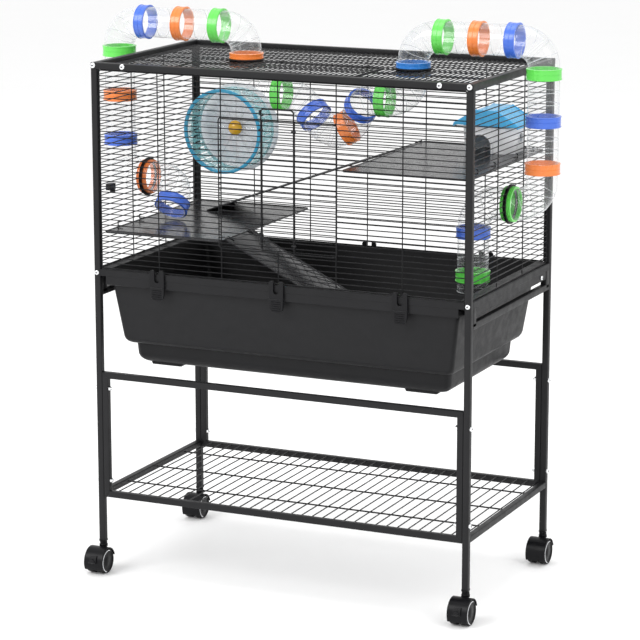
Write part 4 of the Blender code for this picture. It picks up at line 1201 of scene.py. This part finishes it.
def make_ramp(node, side, corner_y, width, pivot):
    """A ramp plate with lips and a crossed tread, hanging from a platform's edge."""
    low, high = extent(node)
    length, lip, half = 0.460, 0.0009, 0.0010
    drop = high.z - low.z - 0.0045
    angle = math.asin(min(0.99, drop / length))
    along = Vector((side * math.cos(angle), 0, -math.sin(angle)))
    up = Vector((side * math.sin(angle), 0, math.cos(angle)))

    def at(a, b, c):
        """A point a down the ramp, b across it and c above its middle plane."""
        return pivot + along * a + Vector((0, corner_y + b, 0)) + up * c

    plate = bmesh.new()
    section = [(0.0006, -half), (width - 0.0006, -half), (width, -half + 0.0006),
               (width, half + lip - 0.0008), (width - 0.0010, half + lip),
               (width - 0.0022, half + lip), (width - 0.0030, half + lip - 0.0010),
               (width - 0.0034, half), (0.0034, half), (0.0030, half + lip - 0.0010),
               (0.0022, half + lip), (0.0010, half + lip), (0, half + lip - 0.0008),
               (0, -half + 0.0006)]
    prism(plate, [at(0.002, b, c) for b, c in section], along, length - 0.0025)
    piece(node + "_plate", plate, "platform", node, [node], smooth=30)
    tread = bmesh.new()
    inner, first, last = 0.0045, 0.012, length - 0.010
    span = width - 2 * inner
    pitch = 0.0260
    count = int((last - first - span) / pitch)
    for k in range(count + 1):
        start = first + (last - first - span) * k / count
        for low_b, high_b in ((inner, width - inner), (width - inner, inner)):
            rod(tread, [at(start, low_b, half), at(start + span, high_b, half)], 0.0007, 6)
    for a in (first - 0.003, last + 0.003):
        rod(tread, [at(a, inner, half), at(a, width - inner, half)], 0.0009, 6)
    piece(node + "_tread", tread, "platform", node)
    hooks = bmesh.new()
    for b in (0.016, width - 0.016):
        rod(hooks, [at(0.012, b, half + 0.0010), at(0.001, b, half + 0.0016),
                    at(-0.004, b, half + 0.0016)], 0.0012)
    piece(node + "_hooks", hooks, "wire", node)


def make_ramps():
    for level, side in (("lower", 1), ("upper", -1)):
        low, high = extent(level + "_platform")
        ramp_low, ramp_high = extent(level + "_ramp")
        edge = high.x if side > 0 else low.x
        make_ramp(level + "_ramp", side, ramp_low.y, ramp_high.y - ramp_low.y,
                  Vector((edge + side * 0.0005, 0, high.z)))


# ---------------------------------------------------------------- exercise wheel
def make_wheel():
    low, high = extent("exercise_wheel")
    x, z = (low.x + high.x) / 2, (low.z + high.z) / 2
    face, back = low.y, high.y
    radius = (high.z - low.z) / 2
    spin, sides = "wheel", 72

    def around(bm, profile, count=sides):
        turned(bm, profile, count, (0, 1, 0), (x, 0, z))

    front = bmesh.new()
    around(front, [(radius - 0.0068, face + 0.0004), (radius - 0.0062, face),
                   (radius - 0.0010, face), (radius, face + 0.0010),
                   (radius, face + 0.0042), (radius - 0.0008, face + 0.0052),
                   (radius - 0.0068, face + 0.0052)])
    piece("wheel_front_hoop", front, "teal", spin)
    drum = bmesh.new()
    slats, solid_share = 40, 0.78
    outer, inner = radius - 0.0026, radius - 0.0044
    for k in range(slats):
        mid = 2 * math.pi * k / slats
        half = math.pi / slats * solid_share
        corners = [(outer, mid - half), (outer, mid + half), (inner, mid + half),
                   (inner, mid - half)]
        prism(drum, [(x + r * math.cos(t), face + 0.005, z + r * math.sin(t))
                     for r, t in corners], (0, 1, 0), back - face - 0.009)
    for start, stop in ((face + 0.005, face + 0.009), (face + 0.029, face + 0.032),
                        (back - 0.009, back - 0.0005)):
        around(drum, [(inner - 0.0002, start), (outer + 0.0003, start),
                      (outer + 0.0003, stop), (inner - 0.0002, stop)])
    piece("wheel_drum_slats", drum, "cyan", spin, ["exercise_wheel"])
    web = bmesh.new()
    around(web, [(0.0045, back - 0.0046), (0.0160, back - 0.0046), (0.0170, back - 0.0030),
                 (outer - 0.0005, back - 0.0030), (outer - 0.0005, back - 0.0010),
                 (0.0045, back - 0.0010)])
    for a, b in circle(1, 12):
        rod(web, [(x + 0.0165 * a, back - 0.0036, z + 0.0165 * b),
                  (x + (inner - 0.001) * a, back - 0.0036, z + (inner - 0.001) * b)],
            0.0012, 6)
    piece("wheel_web", web, "clear", spin)

    low, high = extent("exercise_wheel_hub_cap")
    cap = bmesh.new()
    cap_r = (high.z - low.z) / 2
    rise = high.y - low.y - 0.0020
    dome = [(0, low.y)]
    for k in range(1, 10):
        turn = math.pi / 2 * k / 9
        dome.append((cap_r * math.sin(turn), low.y + rise * (1 - math.cos(turn))))
    dome += [(cap_r, high.y - 0.0010), (cap_r - 0.0006, high.y), (0.0046, high.y),
             (0.0046, high.y - 0.006), (0, high.y - 0.006)]
    around(cap, dome, 40)
    piece("wheel_hub_dome", cap, "amber", spin, ["exercise_wheel_hub_cap"])

    low, high = extent("exercise_wheel_stand")
    disc_r = (high.z - low.z) / 2
    disc_y = back + 0.0060
    stand = bmesh.new()
    around(stand, [(0.0039, disc_y), (disc_r - 0.0010, disc_y), (disc_r, disc_y + 0.0006),
                   (disc_r, disc_y + 0.0022), (disc_r - 0.0006, disc_y + 0.0027),
                   (0.0240, disc_y + 0.0027), (0.0220, disc_y + 0.0045),
                   (0.0220, high.y - 0.0010), (0.0210, high.y), (0.0039, high.y)])
    for reach in (0.045, 0.068, disc_r - 0.005):
        around(stand, [(reach - 0.0010, disc_y + 0.0024), (reach + 0.0010, disc_y + 0.0024),
                       (reach + 0.0006, disc_y + 0.0034), (reach - 0.0006, disc_y + 0.0034)])
    piece("wheel_stand_disc", stand, "frost", "cage", ["exercise_wheel_stand"])
    pin = bmesh.new()
    around(pin, [(0, low.y), (0.0034, low.y), (0.0039, low.y + 0.0006),
                 (0.0039, high.y - 0.001), (0, high.y - 0.001)], 20)
    piece("wheel_pin", pin, "zinc")


# ---------------------------------------------------------------- house
def make_house():
    low, high = extent("house_walls")
    centre = (low + high) / 2
    half_x, half_y = (high.x - low.x) / 2, (high.y - low.y) / 2
    chamfer, shrink = 0.020, 0.586

    def plan(inset, z):
        """The walls' eight-sided outline, moved inwards; shrink keeps the thickness even."""
        a, b = half_x - inset, half_y - inset
        c = chamfer - inset * shrink
        return [(centre.x + x, centre.y + y, z) for x, y in
                ((a, -b + c), (a, b - c), (a - c, b), (-a + c, b), (-a, b - c), (-a, -b + c),
                 (-a + c, -b), (a - c, -b))]

    shell = bmesh.new()
    taper, thick = 0.0040, 0.0022
    loft(shell, [plan(taper + 0.0004, low.z), plan(taper, low.z + 0.0008),
                 plan(0, high.z - 0.0006), plan(0.0004, high.z)])
    room = bmesh.new()
    loft(room, [plan(taper + thick, low.z - 0.004), plan(thick, high.z + 0.004)])
    door_x = centre.x - 0.013
    half_door, door_spring = 0.0230, low.z + 0.014

    outline = [(door_x - half_door, low.z - 0.004), (door_x + half_door, low.z - 0.004)]
    outline += arc(half_door, 0, 180, 14, door_x, door_spring)
    doorway = bmesh.new()
    prism(doorway, [(a, low.y - 0.005, b) for a, b in outline], (0, 1, 0), 0.030)
    window = bmesh.new()
    window_r, window_at = 0.0095, (high.x, centre.y, low.z + 0.030)
    turned(window, [(0, -0.02), (window_r, -0.02), (window_r, 0.02), (0, 0.02)], 28,
           (1, 0, 0), window_at)
    piece("house_wall_shell", shell, "wall", "cage", ["house_walls"], smooth=30,
          cuts=[room, doorway, window])
    trim = bmesh.new()
    reach = half_door + 0.0008
    path = [(door_x - reach, low.z + 0.0008)] + arc(reach, 180, 0, 14, door_x, door_spring)
    path.append((door_x + reach, low.z + 0.0008))
    rod(trim, [(a, low.y, b) for a, b in path], 0.0011)
    hoop(trim, window_r, window_r + 0.0020, -0.0012, 0.0006, 28, (1, 0, 0), window_at)
    piece("house_trim", trim, "wall")

    low, high = extent("house_roof")
    eave, depth = (high.x - low.x) / 2, (high.y - low.y) / 2
    centre = (low + high) / 2
    flat = 0.019
    rise = high.z - low.z
    slope = [(eave - 0.0010, 0.0052)]
    for part in (0.2, 0.4, 0.6, 0.8, 1.0):
        slope.append((eave + (flat - eave) * part - 0.0010 * (1 - part),
                      0.005 + (rise - 0.005) * part))
    outline = [(-eave, 0), (-eave + 0.0025, 0), (-eave + 0.0040, 0.0030),
               (eave - 0.0040, 0.0030), (eave - 0.0025, 0), (eave, 0), (eave, 0.0042)]
    outline += slope + [(-a, b) for a, b in reversed(slope)] + [(-eave, 0.0042)]
    roof = bmesh.new()
    prism(roof, [(centre.x + a, low.y, low.z + b) for a, b in outline], (0, 1, 0), 2 * depth)
    piece("house_roof_shell", roof, "roof", "house_roof", ["house_roof"], smooth=30,
          bevel=0.0008)
    battens = bmesh.new()
    for y in (low.y + 0.003, high.y - 0.003):
        for mirror in (-1, 1):
            rod(battens, [(centre.x + mirror * a, y, low.z + b + 0.0004) for a, b in slope],
                0.0014)
    rod(battens, [(centre.x, low.y + 0.002, high.z), (centre.x, high.y - 0.002, high.z)],
        0.0014)
    piece("house_roof_battens", battens, "roof", "house_roof")


# ---------------------------------------------------------------- floor, light and camera
def make_floor():
    mesh = bpy.data.meshes.new("floor")
    half = 40.0
    mesh.from_pydata([(-half, -half, 0), (half, -half, 0), (half, half, 0), (-half, half, 0)],
                     [], [(0, 1, 2, 3)])
    floor = bpy.data.objects.new("floor", mesh)
    bpy.context.collection.objects.link(floor)
    s = Surface("pale_floor")
    s.link(s.mix(s.noise(3), (0.95, 0.95, 0.95), (0.97, 0.97, 0.97)),
           s.shader.inputs["Base Color"])
    s.link(s.spread(s.noise(9), 0.55, 0.70), s.shader.inputs["Roughness"])
    s.bump(s.noise(900), 0.02, 0.0002)
    mesh.materials.append(s.mat)
    floor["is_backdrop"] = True


def soft_box(name, place, size, power):
    """A square lamp that faces the middle of the cage."""
    light = bpy.data.lights.new(name, "AREA")
    light.shape = "SQUARE"
    light.size = size
    light.energy = power
    lamp = bpy.data.objects.new(name, light)
    lamp.location = Vector(place) + SHIFT
    heading = Vector((0, 0, 0.6)) - Vector(place)
    lamp.rotation_euler = heading.to_track_quat("-Z", "Y").to_euler()
    bpy.context.collection.objects.link(lamp)


def make_light():
    world = bpy.data.worlds.new("studio")
    bpy.context.scene.world = world
    world.use_nodes = True
    background = world.node_tree.nodes["Background"]
    background.inputs["Color"].default_value = (1.0, 1.0, 1.0, 1.0)
    background.inputs["Strength"].default_value = 1.0
    soft_box("key_light", (-2.2, -3.6, 3.2), 2.6, 120)
    soft_box("side_light", (3.4, -1.2, 2.4), 2.2, 35)
    soft_box("top_light", (0.2, 0.4, 4.2), 2.8, 50)
    bpy.context.scene.view_settings.view_transform = "Standard"


def make_camera():
    data = bpy.data.cameras.new("camera")
    camera = bpy.data.objects.new("camera", data)
    bpy.context.collection.objects.link(camera)
    azimuth, elevation = 24.55, 12.42
    camera.location = Vector((2.2033, -4.8201, 1.6782)) + SHIFT
    camera.rotation_euler = (math.radians(90 - elevation), 0, math.radians(azimuth))
    data.sensor_width = 36
    data.lens = 152.69
    data.shift_x = -0.008
    data.clip_end = 200
    bpy.context.scene.camera = camera


def corners(bounds):
    return [[round(value, 6) for value in corner] for corner in bounds]


def main():
    for make in (make_stand, make_bolts, make_shelf, make_walls, make_roof_grille,
                 make_front_door, make_side_catch, make_tray, make_clips, make_casters,
                 make_collars, make_tunnels, make_platforms, make_ramps, make_wheel,
                 make_house, make_floor, make_light, make_camera):
        make()


main()
{"cad": corners(cad_box), "visual": corners(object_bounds())}
